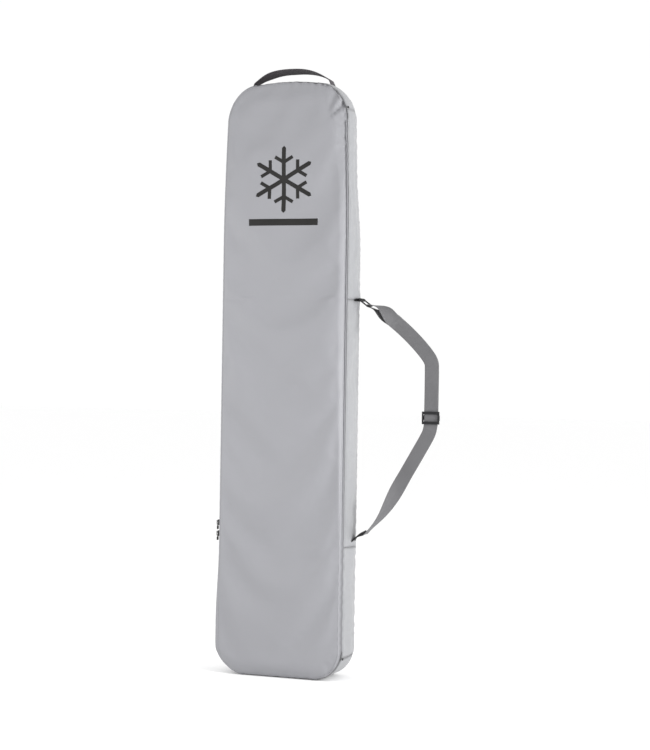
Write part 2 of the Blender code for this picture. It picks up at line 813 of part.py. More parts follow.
def build_side_loop():
    """A small webbing loop on the left wall, flat on it at both ends."""
    middle = (SIDE_LOOP_BOTTOM + SIDE_LOOP_TOP) / 2
    half = (SIDE_LOOP_TOP - SIDE_LOOP_BOTTOM) / 2
    points = []
    for k in range(15):
        t = -1.0 + 2.0 * k / 14
        z = middle + half * t
        rise = SIDE_LOOP_REACH * (1.0 - abs(t) ** 3)
        points.append(Vector((-half_width(z) - 2 * GAP - WEB_THICK / 2 - rise, 0.0, z)))
    across = [Vector((0.0, 1.0, 0.0))] * len(points)
    ribbon("side_loop", points, across, SIDE_LOOP_WIDTH, WEB_THICK, webbing())


def film(name, outline):
    """A print film on the front panel: a flat outline in x and z, cut into rows that follow the panel."""
    bm = bmesh.new()
    bm.faces.new([bm.verts.new((x, 0.0, z)) for x, z in outline])
    low = min(z for _, z in outline)
    high = max(z for _, z in outline)
    rows = max(1, math.ceil((high - low) / (ROWS_SPACING / 3)))
    for k in range(1, rows):
        geometry = bm.verts[:] + bm.edges[:] + bm.faces[:]
        height = low + (high - low) * k / rows
        bmesh.ops.bisect_plane(bm, geom=geometry, plane_co=(0, 0, height), plane_no=(0, 0, 1), dist=1e-6)
    bmesh.ops.triangulate(bm, faces=bm.faces)
    for vert in bm.verts:
        vert.co.y = front_depth(vert.co.z) - 2 * GAP - FILM
    bm.normal_update()
    for face in bm.faces:
        if face.normal.y > 0:
            face.normal_flip()
    mesh = bpy.data.meshes.new(name)
    bm.to_mesh(mesh)
    bm.free()
    thicken(add_object(name, mesh, print_ink(), HINGE), FILM)


def snowflake_outline():
    """A six-armed snow crystal with one pair of side branches on each arm."""
    half, radius = EMBLEM_ARM, EMBLEM_RADIUS
    slant = math.radians(60.0)
    branch_start, branch_length = radius * 0.52, radius * 0.30
    wide = 2 * half * 0.8
    tip = Vector((math.cos(slant), math.sin(slant)))
    normal = Vector((math.sin(slant), -math.cos(slant)))
    inner = Vector((branch_start, half))
    outer = Vector((branch_start + wide / math.sin(slant), half))
    branch = [inner, inner + tip * branch_length]
    branch += [branch[1] + normal * wide, outer]
    side = [Vector((half / math.tan(math.pi / 6), half))] + branch + [Vector((radius, half))]
    arm = [Vector((p.x, -p.y)) for p in side] + [Vector((radius + half, 0.0))] + side[::-1]
    points = []
    for k in range(6):
        a = math.pi / 2 + k * math.pi / 3
        turn = Matrix.Rotation(a, 2)
        for p in arm[:-1]:
            q = turn @ p
            points.append((q.x, EMBLEM_HEIGHT + q.y))
    return points


def build_print():
    film("print_emblem", snowflake_outline())
    half, tall = BAR_SIZE[0] / 2, BAR_SIZE[1] / 2
    corners = [(-half, -tall), (half, -tall), (half, tall), (-half, tall)]
    film("print_bar", [(x, BAR_HEIGHT + z) for x, z in corners])


def clear_scene():
    for obj in list(bpy.data.objects):
        bpy.data.objects.remove(obj, do_unlink=True)
    for collection in list(bpy.data.collections):
        bpy.data.collections.remove(collection)


def new_collection(name):
    collection = bpy.data.collections.new(name)
    bpy.context.scene.collection.children.link(collection)
    return collection


HINGE = (HALF_WIDTH, PARTING, 0.0)
STRAP_HINGE = (HALF_WIDTH, STRAP_DEPTH, 0.0)

clear_scene()
PARTS = new_collection("snowboard_bag")
CUTTERS = new_collection("cutters")
build_back_panel()
build_walls()
build_front_panel()
build_zipper()
build_bindings()
build_patches()
build_strap()
build_tabs()
build_ring()
build_triglide()
build_slider("upper", SLIDER_UPPER_HEIGHT)
build_slider("lower", SLIDER_LOWER_HEIGHT)
build_handle()
build_side_loop()
build_print()
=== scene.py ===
"""The looks of the snowboard bag: sewn fabric panels, zipper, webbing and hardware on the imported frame."""

import json
import math

import bmesh
import bpy
import numpy as np
from mathutils import Matrix, Vector
from mathutils.bvhtree import BVHTree


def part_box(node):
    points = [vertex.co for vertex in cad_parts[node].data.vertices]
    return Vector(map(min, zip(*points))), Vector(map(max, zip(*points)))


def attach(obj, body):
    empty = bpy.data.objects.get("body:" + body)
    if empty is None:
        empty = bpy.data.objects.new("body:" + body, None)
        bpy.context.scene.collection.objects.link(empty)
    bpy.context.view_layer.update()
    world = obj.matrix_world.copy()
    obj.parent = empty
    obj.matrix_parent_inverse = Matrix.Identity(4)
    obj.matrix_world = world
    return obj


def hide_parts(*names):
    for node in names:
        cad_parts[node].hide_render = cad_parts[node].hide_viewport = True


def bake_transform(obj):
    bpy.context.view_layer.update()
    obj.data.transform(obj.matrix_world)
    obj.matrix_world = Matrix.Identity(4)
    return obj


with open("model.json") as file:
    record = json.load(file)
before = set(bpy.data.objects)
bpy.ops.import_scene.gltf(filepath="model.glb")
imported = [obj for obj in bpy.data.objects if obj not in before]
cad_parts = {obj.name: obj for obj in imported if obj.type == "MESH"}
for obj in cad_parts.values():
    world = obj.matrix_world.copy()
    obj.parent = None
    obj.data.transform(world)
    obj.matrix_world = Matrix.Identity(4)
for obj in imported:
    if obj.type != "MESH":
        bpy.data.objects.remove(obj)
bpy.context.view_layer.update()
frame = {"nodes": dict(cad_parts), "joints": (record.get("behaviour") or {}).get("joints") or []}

# Sizes read from the frame
JOINT = {joint["name"]: joint for joint in frame["joints"]}
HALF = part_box("right_gusset_middle")[1].x
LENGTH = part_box("front_panel")[1].z
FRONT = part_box("front_panel")[0].y
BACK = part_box("back_panel")[1].y
PARTING = JOINT["lid_open"]["pos_m"][1]
STRAP_DEPTH = JOINT["strap_swing"]["pos_m"][1]
LOWER_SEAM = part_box("right_gusset_lower")[1].z
UPPER_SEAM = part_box("right_gusset_middle")[1].z
BOTTOM_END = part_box("right_gusset_lower")[0].z
TOP_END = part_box("right_gusset_upper")[1].z
HANDLE_LOW, HANDLE_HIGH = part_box("haul_handle")

# The outline's corners, as the frame's solids have them
FLAT_HALF = 0.100
BOTTOM_CORNER = 0.085
TAPER_START = 1.200
TAPER = 0.0065
TOP_CORNER = 1.508
TOP_INNER = 0.088
TOP_SHOULDER = 1.613
FRONT_TAPER = 0.004
BACK_STEP = 0.029
BACK_STEP_START = 1.150
BACK_STEP_LENGTH = 0.230
FRONT_TAPER_LIMIT = 1.25

# Fabric
CLOTH = 0.0008
ZIP_HALF = 0.0030
BACK_WRAP = 0.010
ROW_STEP = 0.0065
COLUMNS = 72
SEAM_DIP = 0.0016
SEAM_REACH = 0.0026
TOPSTITCH = 0.0075
SEAM_WANDER = 0.0008  # the hinged seam wanders inwards only: outside its axis it would turn into the wall
LEFT_FLARE = 0.0075  # how far the front bulges past the zipper, low on the left
RING_ROOM = 0.6  # share of the wall's swell taken away where the ring swings past it
SEAM_STRIP = 0.005
TAB_FOLDS = (  # folds above the strap's upper root: lean, height and width
    (0.19, 0.0034, 0.0060),
    (0.105, -0.0024, 0.0050),
    (0.03, 0.0030, 0.0065),
    (-0.04, -0.0020, 0.0060),
)
WALL_STEPS = 21
FRONT_SLACK, WALL_SLACK, BACK_SLACK = 0.009, 0.020, 0.012
BELLY = 0.0042
WALL_CREASE = 0.0015
ROOT_PULLS = ((UPPER_SEAM, 0.0100, 0.030, 0.025), (LOWER_SEAM, 0.0060, 0.026, 0.030))  # rise, height, depth
CROSS_DIP = 0.0014
SEAM_SHADE = 0.0028
HINGE_DIP = 0.0012
BINDING_INSET = 0.0030
PATCH_HALF = 0.023
STRIP_STEP = 0.006
SETTLE_FRAMES = 26
SETTLE_LIMIT = 0.0060

# Zipper
TAPE_INSET = 0.0027
TAPE_REACH = 0.0055
BASE_TAPE_REACH = 0.012
COIL_PITCH = 0.0016
COIL_WIDTH = 0.0023
COIL_RISE = 0.0013

# Webbing
WEB = 0.038
WEB_THICK = 0.0018
RIB_STEP = 0.0032
RIB_RISE = 0.00022
GAP = 0.0003
STITCH_STEP = 0.0036
STITCH_HALF, THREAD_HALF, THREAD_RISE = 0.0014, 0.00032, 0.00022

# Strap: ring, route and adjuster
RING_WIRE = 0.0020
RING_INNER_BAR = (0.2026, 1.0285)
RING_OUTER_BAR = (0.2242, 1.0123)
STRAP_OUT = 0.403
STRAP_UPPER_ROUTE = (
    (0.252, 1.0035),
    (0.290, 0.9765),
    (0.338, 0.9360),
    (0.377, 0.8960),
    (0.400, 0.8640),
    (STRAP_OUT, 0.8350),
)
STRAP_LOWER_ROUTE = (
    (STRAP_OUT, 0.6950),
    (0.3960, 0.6680),
    (0.3660, 0.6140),
    (0.3190, 0.5330),
    (0.2690, 0.4500),
)
STRAP_LOWER_END = (0.2214, 0.3957)
STRAND_OFFSET = 0.0024
LOOP_OFFSET = 0.0115
WRAP_OFFSET = RING_WIRE + GAP + WEB_THICK / 2
UPPER_TWIST = (0.010, 0.085)
LOWER_TWIST = (0.140, 0.150)
LOOP_LENGTH = 0.105
TRIGLIDE_LOW, TRIGLIDE_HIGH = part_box("triglide")

# Haul handle
HANDLE_FOOT = 0.115
HANDLE_DEPTH = (HANDLE_LOW.y + HANDLE_HIGH.y) / 2
HANDLE_PIVOT = JOINT["handle_rock"]["pos_m"][2]
HANDLE_THICK = 0.0028
HANDLE_CURVE = 2.6
HANDLE_LEAN = math.radians(17.0)
TAB_TURN = math.radians(16.0)


def smooth(t):
    t = np.clip(t, 0.0, 1.0)
    return t * t * (3.0 - 2.0 * t)


def bump(t):
    """1 at 0, falling smoothly, nearly 0 beyond 2."""
    return np.exp(-t * t)


def waves(p, q, seed, count, long_p, long_q):
    """Soft irregular undulation of about unit height, from a few waves of random direction and phase."""
    random = np.random.RandomState(seed)
    total = np.zeros(np.broadcast(p, q).shape)
    for _ in range(count):
        a = random.uniform(-1.0, 1.0) / long_p
        b = random.uniform(-1.0, 1.0) / long_q
        total += np.sin(2 * math.pi * (a * p + b * q) + random.uniform(0, 2 * math.pi))
    return total / math.sqrt(count)


# Outline


def half_width(z):
    t = np.maximum(z - TAPER_START, 0.0) / (TOP_CORNER - TAPER_START)
    return HALF - TAPER * t**1.5


def front_face(z):
    t = np.maximum(z - TAPER_START, 0.0) / (TOP_CORNER - TAPER_START)
    return FRONT + FRONT_TAPER * np.minimum(t, FRONT_TAPER_LIMIT) ** 2


def back_face(z):
    return BACK - BACK_STEP * smooth((z - BACK_STEP_START) / BACK_STEP_LENGTH)


def side_rows():
    """Heights of the rows up the sides, with rows close to each cross seam."""
    count = round((TOP_CORNER - BOTTOM_CORNER) / ROW_STEP)
    heights = list(np.linspace(BOTTOM_CORNER, TOP_CORNER, count + 1))
    for seam in (LOWER_SEAM, UPPER_SEAM):
        heights = [z for z in heights if abs(z - seam) > 0.0055]
        heights += [seam - 0.0045, seam - 0.0018, seam, seam + 0.0018, seam + 0.0045]
    return sorted(heights)


def right_outline():
    """Rows from the flat bottom's end to the top edge's shoulder: an array of (x, z)."""
    points = []
    for a in np.linspace(0.0, math.pi / 2, 17)[:-1]:
        points.append((FLAT_HALF + (HALF - FLAT_HALF) * math.sin(a), BOTTOM_CORNER * (1 - math.cos(a))))
    points += [(float(half_width(z)), z) for z in side_rows()]
    reach, rise = half_width(TOP_CORNER) - TOP_INNER, TOP_SHOULDER - TOP_CORNER
    for a in np.linspace(0.0, math.pi / 2, 20)[1:]:
        points.append((TOP_INNER + reach * math.cos(a), TOP_CORNER + rise * math.sin(a)))
    return np.array(points)


ROWS = right_outline()
CROSS = np.sin(np.linspace(-math.pi / 2, math.pi / 2, COLUMNS + 1))


def sheet_grid():
    """x and z of a whole panel's points, rows upwards and columns from left to right."""
    x = ROWS[:, 0][:, None] * CROSS[None, :]
    z = np.repeat(ROWS[:, 1][:, None], COLUMNS + 1, axis=1)
    crown = smooth((z - TAPER_START) / (TOP_SHOULDER - TAPER_START))
    return x, z + (LENGTH - TOP_SHOULDER) * crown * (1.0 - CROSS[None, :] ** 2)


GRID_X, GRID_Z = sheet_grid()
WANDERS = smooth((GRID_X - 0.150) / 0.030) * smooth((GRID_Z - 0.085) / 0.03) * smooth((1.525 - GRID_Z) / 0.03)
GRID_X = GRID_X - SEAM_WANDER * WANDERS * (
    (0.25 + 0.75 * smooth((0.42 - GRID_Z) / 0.10) + 0.5 * smooth((GRID_Z - 1.30) / 0.08))
    * (1.0 + np.sin(2 * math.pi * GRID_Z / 0.031 + 1.6 * np.sin(2 * math.pi * GRID_Z / 0.117)))
)
LAST_ROW = len(ROWS) - 1


def perimeter():
    """The grid's border anticlockwise seen from the front, from the right end of the flat bottom."""
    right = [(r, COLUMNS) for r in range(LAST_ROW + 1)]
    top = [(LAST_ROW, c) for c in range(COLUMNS - 1, -1, -1)]
    left = [(r, 0) for r in range(LAST_ROW - 1, -1, -1)]
    bottom = [(0, c) for c in range(1, COLUMNS)]
    return right + top + left + bottom


BORDER = perimeter()
EDGE_X = np.array([GRID_X[r, c] for r, c in BORDER])
EDGE_Z = np.array([GRID_Z[r, c] for r, c in BORDER])


def edge_normals():
    after = np.roll(np.arange(len(BORDER)), -1)
    before = np.roll(np.arange(len(BORDER)), 1)
    tx, tz = EDGE_X[after] - EDGE_X[before], EDGE_Z[after] - EDGE_Z[before]
    size = np.hypot(tx, tz)
    return tz / size, -tx / size


EDGE_NX, EDGE_NZ = edge_normals()


def edge_lengths():
    """How far along the border each of its points is."""
    steps = np.hypot(np.roll(EDGE_X, -1) - EDGE_X, np.roll(EDGE_Z, -1) - EDGE_Z)
    return np.concatenate([[0.0], np.cumsum(steps)[:-1]])


EDGE_S = edge_lengths()


def border_distance(x, z):
    """Each point's distance from the border, and the index of the border point nearest it."""
    flat = np.stack([x.ravel(), z.ravel()], 1)
    near = np.empty(len(flat), int)
    far = np.empty(len(flat))
    for start in range(0, len(flat), 2000):
        part = flat[start : start + 2000]
        gaps = np.hypot(part[:, :1] - EDGE_X[None, :], part[:, 1:] - EDGE_Z[None, :])
        near[start : start + 2000] = gaps.argmin(1)
        far[start : start + 2000] = gaps.min(1)
    return far.reshape(x.shape), near.reshape(x.shape)


DISTANCE, NEAREST = border_distance(GRID_X, GRID_Z)


# Meshes


def collection(name):
    found = bpy.data.collections.new(name)
    bpy.context.scene.collection.children.link(found)
    return found


LOOKS = collection("looks")


def add_piece(name, mesh, finish, body, nodes=()):
    """A new object that rides on a body, takes a slot's finish and stands for CAD nodes."""
    obj = bpy.data.objects.new(name, mesh)
    LOOKS.objects.link(obj)
    if finish is not None:
        mesh.materials.append(finish)
    mesh.shade_smooth()
    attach(obj, body)
    if nodes:
        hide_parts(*nodes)
    return obj


def add_bending(name, mesh, nodes=()):
    """A new object that rides on no body and stands for CAD nodes."""
    obj = bpy.data.objects.new(name, mesh)
    LOOKS.objects.link(obj)
    mesh.shade_smooth()
    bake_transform(obj)
    if nodes:
        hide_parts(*nodes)
    return obj


def grid_mesh(name, points, uv, flip=False, around=False):
    """A mesh of quads over an array of points (rows, columns, 3), with UVs in metres."""
    rows, columns = points.shape[:2]
    wide = columns if around else columns - 1
    faces, corners = [], []
    for r in range(rows - 1):
        for c in range(wide):
            d = (c + 1) % columns
            face = [(r, c), (r, d), (r + 1, d), (r + 1, c)]
            if flip:
                face.reverse()
            faces.append([i * columns + j for i, j in face])
            corners += face
    mesh = bpy.data.meshes.new(name)
    mesh.from_pydata(points.reshape(-1, 3).tolist(), [], faces)
    layer = mesh.uv_layers.new(name="cloth")
    layer.data.foreach_set("uv", np.array([uv[i, j] for i, j in corners], np.float32).ravel())
    mesh.update()
    return mesh


def paint(mesh, name, values):
    """Stores one number a point, for a material to read."""
    layer = mesh.attributes.new(name, "FLOAT", "POINT")
    layer.data.foreach_set("value", np.asarray(values, np.float32).ravel())


def with_outward_normals(mesh, weld=False):
    """Welds doubled points if asked, and turns every face of a closed mesh outwards."""
    bm = bmesh.new()
    bm.from_mesh(mesh)
    if weld:
        bmesh.ops.remove_doubles(bm, verts=bm.verts, dist=1e-6)
    bmesh.ops.recalc_face_normals(bm, faces=bm.faces)
    bm.to_mesh(mesh)
    bm.free()
    return mesh


def thicken(obj, thickness, offset=-1.0):
    solid = obj.modifiers.new("cloth", "SOLIDIFY")
    solid.thickness = thickness
    solid.offset = offset
    solid.use_even_offset = False
    return obj


# Panel shapes


def chamfer_width(z):
    """Width of the strip between the front's right crease and the side seam: it closes towards the bottom."""
    return 0.0045 + 0.0160 * smooth((z - 0.20) / 0.85) + 0.0110 * smooth((z - 1.25) / 0.25)


def on_hinge(x, z):
    """Whether a point of the outline is on the straight seam that the front panel turns on."""
    return (x > 0) & (z >= BOTTOM_CORNER) & (z <= TOP_CORNER)


def seam_dip(d, hinged):
    """How far cloth is drawn in near a seam. On the hinged seam the edges themselves stay on the axis."""
    beside = bump((d - SEAM_REACH) / SEAM_REACH) * smooth(d / HINGE_DIP)
    return SEAM_DIP * np.where(hinged, beside, bump(d / SEAM_REACH))


def front_shape():
    """y of the front panel over the grid, with its edges pulled in at the seams."""
    x, z, d = GRID_X, GRID_Z, DISTANCE
    edge_x, edge_z = EDGE_X[NEAREST], EDGE_Z[NEAREST]
    on_side = smooth((edge_z - 0.02) / 0.05) * smooth((1.575 - edge_z) / 0.05)
    right = np.where(edge_x > 0, on_side, 0.0)
    left = np.where(edge_x < 0, on_side, 0.0)
    seam_side = np.where(on_hinge(edge_x, edge_z), 0.0, 1.0)
    rim = PARTING - ZIP_HALF * seam_side
    face = front_face(z) - 0.0035 * (1.0 - (x / ROWS[:, 0][:, None]) ** 2) * smooth(d / 0.06)
    straight = d / chamfer_width(edge_z)
    crease = 1.0 - 0.5 * ((1.0 - straight) + np.sqrt((1.0 - straight) ** 2 + 0.02))
    crease = (crease - crease.min()) / (1.0 - crease.min())
    roll = 0.045 - 0.029 * left
    rounded = np.sqrt(1.0 - (1.0 - np.clip(d / roll, 0.0, 1.0)) ** 2)
    cover = right * np.clip(crease, 0.0, 1.0) + (1.0 - right) * rounded
    y = rim + (face - rim) * cover
    soft = smooth(d / 0.05)
    y = y + 0.0016 * soft * waves(x + 0.45 * z, z, 3, 7, 0.30, 0.26)
    y = y + 0.0006 * soft * waves(x, z, 8, 9, 0.10, 0.12)
    return y


def corner_folds(x, z, d):
    """Radial tucks where the fabric is gathered round the top right corner, and weaker ones at the others."""
    total = np.zeros(x.shape)
    for cx, cz, height, reach, turns, phase in (
        (0.118, 1.505, 0.0062, 0.036, 13.0, 0.4),
        (-0.118, 1.530, 0.0012, 0.030, 9.0, 1.1),
        (0.120, 0.075, 0.0016, 0.030, 9.0, 0.8),
        (-0.120, 0.075, 0.0012, 0.030, 9.0, 2.0),
    ):
        angle = np.arctan2(z - cz, (x - cx) * np.sign(cx))
        wanted = math.pi / 4 if cz > 0.5 else -math.pi / 4
        window = bump((angle - wanted) / 0.55)
        total += height * window * bump((d - 0.012) / reach) * np.sin(turns * angle + phase)
    return total


def seam_puckers(s, d, strength):
    """Small gathers along a seam: ripples along it that die out away from it."""
    ripple = np.sin(2 * math.pi * s / 0.021 + 1.5 * np.sin(2 * math.pi * s / 0.13))
    ripple += 0.6 * np.sin(2 * math.pi * s / 0.034 + 2.0 * np.sin(2 * math.pi * s / 0.21))
    return strength * ripple * np.exp(-d / 0.010) * smooth(d / 0.003)


def outline_mesh(name, coarse):
    """A bare mesh of quads over a coarse grid of points."""
    rows, columns = coarse.shape[:2]
    faces = []
    for r in range(rows - 1):
        for c in range(columns - 1):
            base = r * columns + c
            faces.append((base, base + 1, base + columns + 1, base + columns))
    mesh = bpy.data.meshes.new(name)
    mesh.from_pydata(coarse.reshape(-1, 3).tolist(), [], faces)
    mesh.update()
    return mesh


def settled(name, points, held, slack, steps):
    """How far each point moves when the cloth, cut a little large and sewn down where held, settles.

    A coarse copy of the grid is simulated as cloth under a light load, and its movement is spread over
    the fine grid.
    """
    rows, columns = points.shape[:2]
    row_pick = np.unique(np.linspace(0, rows - 1, steps[0]).round().astype(int))
    column_pick = np.unique(np.linspace(0, columns - 1, steps[1]).round().astype(int))
    for r in np.where(held.all(axis=1))[0]:
        row_pick = np.union1d(row_pick, [r])
    grid = np.ix_(row_pick, column_pick)
    coarse = points[grid]
    obj = bpy.data.objects.new(name, outline_mesh(name, coarse))
    bpy.context.scene.collection.objects.link(obj)
    pins = obj.vertex_groups.new(name="sewn")
    pins.add([int(i) for i in np.where(held[grid].ravel())[0]], 1.0, "REPLACE")
    cloth = obj.modifiers.new("cloth", "CLOTH")
    fabric = cloth.settings
    fabric.quality = 7
    fabric.mass = 0.12
    fabric.tension_stiffness = 18.0
    fabric.compression_stiffness = 18.0
    fabric.shear_stiffness = 7.0
    fabric.bending_stiffness = 0.35
    fabric.air_damping = 3.0
    fabric.vertex_group_mass = "sewn"
    fabric.shrink_min = -slack
    fabric.effector_weights.gravity = 0.25
    cloth.collision_settings.use_collision = False
    scene = bpy.context.scene
    scene.frame_start, scene.frame_end = 1, SETTLE_FRAMES
    cloth.point_cache.frame_start, cloth.point_cache.frame_end = 1, SETTLE_FRAMES
    for step in range(1, SETTLE_FRAMES + 1):
        scene.frame_set(step)
    shape = obj.evaluated_get(bpy.context.evaluated_depsgraph_get()).data
    after = np.empty(len(shape.vertices) * 3)
    shape.vertices.foreach_get("co", after)
    moved = after.reshape(coarse.shape) - coarse
    mesh = obj.data
    bpy.data.objects.remove(obj)
    bpy.data.meshes.remove(mesh)
    scene.frame_set(1)
    size = np.maximum(np.linalg.norm(moved, axis=2, keepdims=True), 1e-9)
    moved *= SETTLE_LIMIT * np.tanh(size / SETTLE_LIMIT) / size
    by_row = np.empty((len(row_pick), columns, 3))
    for i in range(len(row_pick)):
        for k in range(3):
            by_row[i, :, k] = np.interp(np.arange(columns), column_pick, moved[i, :, k])
    spread = np.empty(points.shape)
    for j in range(columns):
        for k in range(3):
            spread[:, j, k] = np.interp(np.arange(rows), row_pick, by_row[:, j, k])
    return softened(spread)


def softened(values):
    """Takes the corners off an interpolated grid."""
    for _ in range(3):
        inner = values[1:-1, 1:-1]
        near = values[:-2, 1:-1] + values[2:, 1:-1] + values[1:-1, :-2] + values[1:-1, 2:]
        values[1:-1, 1:-1] = (inner * 2 + near) / 6
    return values


def panel_border(shape):
    held = np.zeros(shape, bool)
    held[[0, -1], :] = True
    held[:, [0, -1]] = True
    return held


def build_front_panel():
    """The front sheet: it bulges past the zipper low on the left, and is gathered at the right corners."""
    x, z, d = GRID_X, GRID_Z, DISTANCE
    y = front_shape()
    at = np.stack([x, y, z], 2)
    moved = settled("settle_front", at, panel_border(x.shape), FRONT_SLACK, (110, 30))
    moved *= smooth((d - 0.004) / 0.030)[:, :, None]
    x, y, z = x + 0.5 * moved[:, :, 0], y + moved[:, :, 1], z + 0.5 * moved[:, :, 2]
    forward = smooth((PARTING - ZIP_HALF - 0.003 - y) / 0.007)
    x = x - LEFT_FLARE * forward * smooth(-x / 0.16) * smooth((0.36 - z) / 0.22) * smooth(z / 0.05)
    left = (x < 0) & (z > 0.12) & (z < 1.48)
    y += np.where(left, 0.0014, 0.0007) * bump((d - TOPSTITCH) / 0.0018)
    y -= corner_folds(x, z, d) * smooth(d / 0.006)
    lower = smooth((0.45 - z) / 0.25)
    right = (x > 0).astype(float)
    upper = smooth((z - 1.36) / 0.10)
    y -= seam_puckers(EDGE_S[NEAREST], d, 0.0004 + 0.0013 * np.maximum(lower, upper) * right)
    hinged = on_hinge(EDGE_X[NEAREST], EDGE_Z[NEAREST])
    pull = seam_dip(d, hinged)
    points = np.stack([x - EDGE_NX[NEAREST] * pull, y, z - EDGE_NZ[NEAREST] * pull], 2)
    mesh = grid_mesh("panel_front", points, np.stack([x, z], 2))
    # mask of the painted shade along the seams, read by the cloth material
    paint(mesh, "seam", bump(d / SEAM_SHADE))
    obj = add_piece("panel_front", mesh, bag_cloth(), "lid", ["front_panel"])
    thicken(obj, CLOTH)
    return obj


def wall_depths(low_y):
    """y of the wall band's points, steps by border, closer together beside its two long seams."""
    share = (1.0 - np.cos(np.linspace(0.0, math.pi, WALL_STEPS))) / 2
    back_seam = back_face(EDGE_Z) - BACK_WRAP
    return low_y[None, :] + (back_seam - low_y)[None, :] * share[:, None]


def wall_lift(y, front_edge, back_edge):
    """How far the wall stands out from the outline: fill, wrinkles, the strap tabs' pull and seam dips."""
    x, z, s = (np.repeat(values[None, :], len(y), axis=0) for values in (EDGE_X, EDGE_Z, EDGE_S))
    share = (y - front_edge) / (back_edge - front_edge)
    off_floor = smooth((z - 0.004) / 0.10)
    belly = BELLY * np.sin(math.pi * np.clip(share, 0, 1)) * off_floor
    right = (x > 0).astype(float) * off_floor
    upper = 0.55 + 0.45 * smooth((z - 1.10) / 0.25)
    creases = WALL_CREASE * upper * waves(y, z, 21, 8, 0.028, 0.34) * np.sin(math.pi * np.clip(share, 0, 1))
    middle = (z > 0.09) & (z < 1.50)
    pull = 0.0
    for seam, rise, tall, deep in ROOT_PULLS:
        pull = pull + rise * bump((z - seam) / tall) * bump((y - STRAP_DEPTH) / deep)
    lift = belly + np.where(middle, creases, 0.4 * creases * off_floor) + pull * right
    for lean, height, wide in TAB_FOLDS:
        middle_line = STRAP_DEPTH - lean * (z - UPPER_SEAM)
        reach = smooth((z - UPPER_SEAM) / 0.04) * smooth((UPPER_SEAM + 0.36 - z) / 0.30)
        lift += height * right * reach * bump((y - middle_line) / wide)
    away = np.minimum(y - front_edge, back_edge - y)
    lift += seam_puckers(s, away, 0.0006) * off_floor
    meets = on_hinge(x, z) & (y - front_edge < 0.5 * (back_edge - front_edge))
    lift -= seam_dip(away, meets) * smooth(z / 0.004)
    return lift


def build_walls():
    """The walls between front and back, cut into the sewn pieces."""
    low_y = np.where(on_hinge(EDGE_X, EDGE_Z), PARTING, PARTING + ZIP_HALF)
    y = wall_depths(low_y)
    back_edge = (back_face(EDGE_Z) - BACK_WRAP)[None, :]
    lift = wall_lift(y, low_y[None, :], back_edge)
    for seam, reach in ((LOWER_SEAM, 0.0028), (UPPER_SEAM, 0.0028), (BOTTOM_END, 0.0040), (TOP_END, 0.0040)):
        lift -= CROSS_DIP * bump((EDGE_Z[None, :] - seam) / reach)
    x = EDGE_X[None, :] + EDGE_NX[None, :] * lift
    z = EDGE_Z[None, :] + EDGE_NZ[None, :] * lift
    points = np.stack([x, y, np.maximum(z, 0.0)], 2)
    away = np.minimum(y - low_y[None, :], back_edge - y)
    low_row, high_row = nearest_row(BOTTOM_CORNER), nearest_row(TOP_CORNER)
    for first in (low_row, 2 * LAST_ROW + COLUMNS - high_row):
        run = np.arange(first, first + high_row - low_row + 1)
        part = points[:, run].transpose(1, 0, 2)
        held = panel_border(part.shape[:2])
        for seam in (LOWER_SEAM, UPPER_SEAM):
            if EDGE_X[run[0]] > 0 or seam == LOWER_SEAM:
                held[int(np.abs(EDGE_Z[run] - seam).argmin()), :] = True
        moved = settled("settle_wall", part, held, WALL_SLACK, (150, 11)).transpose(1, 0, 2)
        points[:, run] += moved * smooth(away[:, run, None] / 0.02)
    room = bump((EDGE_Z[None, :] - UPPER_SEAM) / 0.022) * smooth((STRAP_DEPTH - 0.008 - y) / 0.012)
    points[:, :, 0] -= RING_ROOM * room * (EDGE_X > 0) * (points[:, :, 0] - EDGE_X[None, :])
    uv = np.stack([np.repeat(EDGE_S[None, :], WALL_STEPS, axis=0), y], 2)
    # mask of the painted shade along the long seams and the cross seams, read by the cloth material
    seams = bump(away / SEAM_SHADE)
    for seam in (LOWER_SEAM, UPPER_SEAM, BOTTOM_END, TOP_END):
        seams = np.maximum(seams, bump((EDGE_Z[None, :] - seam) / 0.0024))
    made = []
    for name, node, chosen in wall_pieces():
        part = points[:, chosen]
        mesh = grid_mesh(name, part, uv[:, chosen], flip=True)
        paint(mesh, "seam", seams[:, chosen])
        obj = add_piece(name, mesh, side_cloth(), "shell", [node])
        thicken(obj, CLOTH)
        made.append(obj)
    return made


def nearest_row(z):
    return int(np.abs(ROWS[:, 1] - z).argmin())


def wall_pieces():
    """Each wall piece's name, CAD node and the border points that it runs over."""
    bottom, lower = nearest_row(BOTTOM_END), nearest_row(LOWER_SEAM)
    upper, top = nearest_row(UPPER_SEAM), nearest_row(TOP_END)
    count = len(BORDER)
    left_of = {r: LAST_ROW + COLUMNS + (LAST_ROW - r) for r in range(LAST_ROW + 1)}
    bottom_run = list(range(left_of[bottom], count)) + list(range(0, bottom + 1))
    return (
        ("wall_right_lower", "right_gusset_lower", list(range(bottom, lower + 1))),
        ("wall_right_middle", "right_gusset_middle", list(range(lower, upper + 1))),
        ("wall_right_upper", "right_gusset_upper", list(range(upper, top + 1))),
        ("wall_top", "top_end_panel", list(range(top, left_of[top] + 1))),
        ("wall_left_upper", "left_gusset_upper", list(range(left_of[top], left_of[lower] + 1))),
        ("wall_left_lower", "left_gusset_lower", list(range(left_of[lower], left_of[bottom] + 1))),
        ("wall_bottom", "bottom_end_panel", bottom_run),
    )


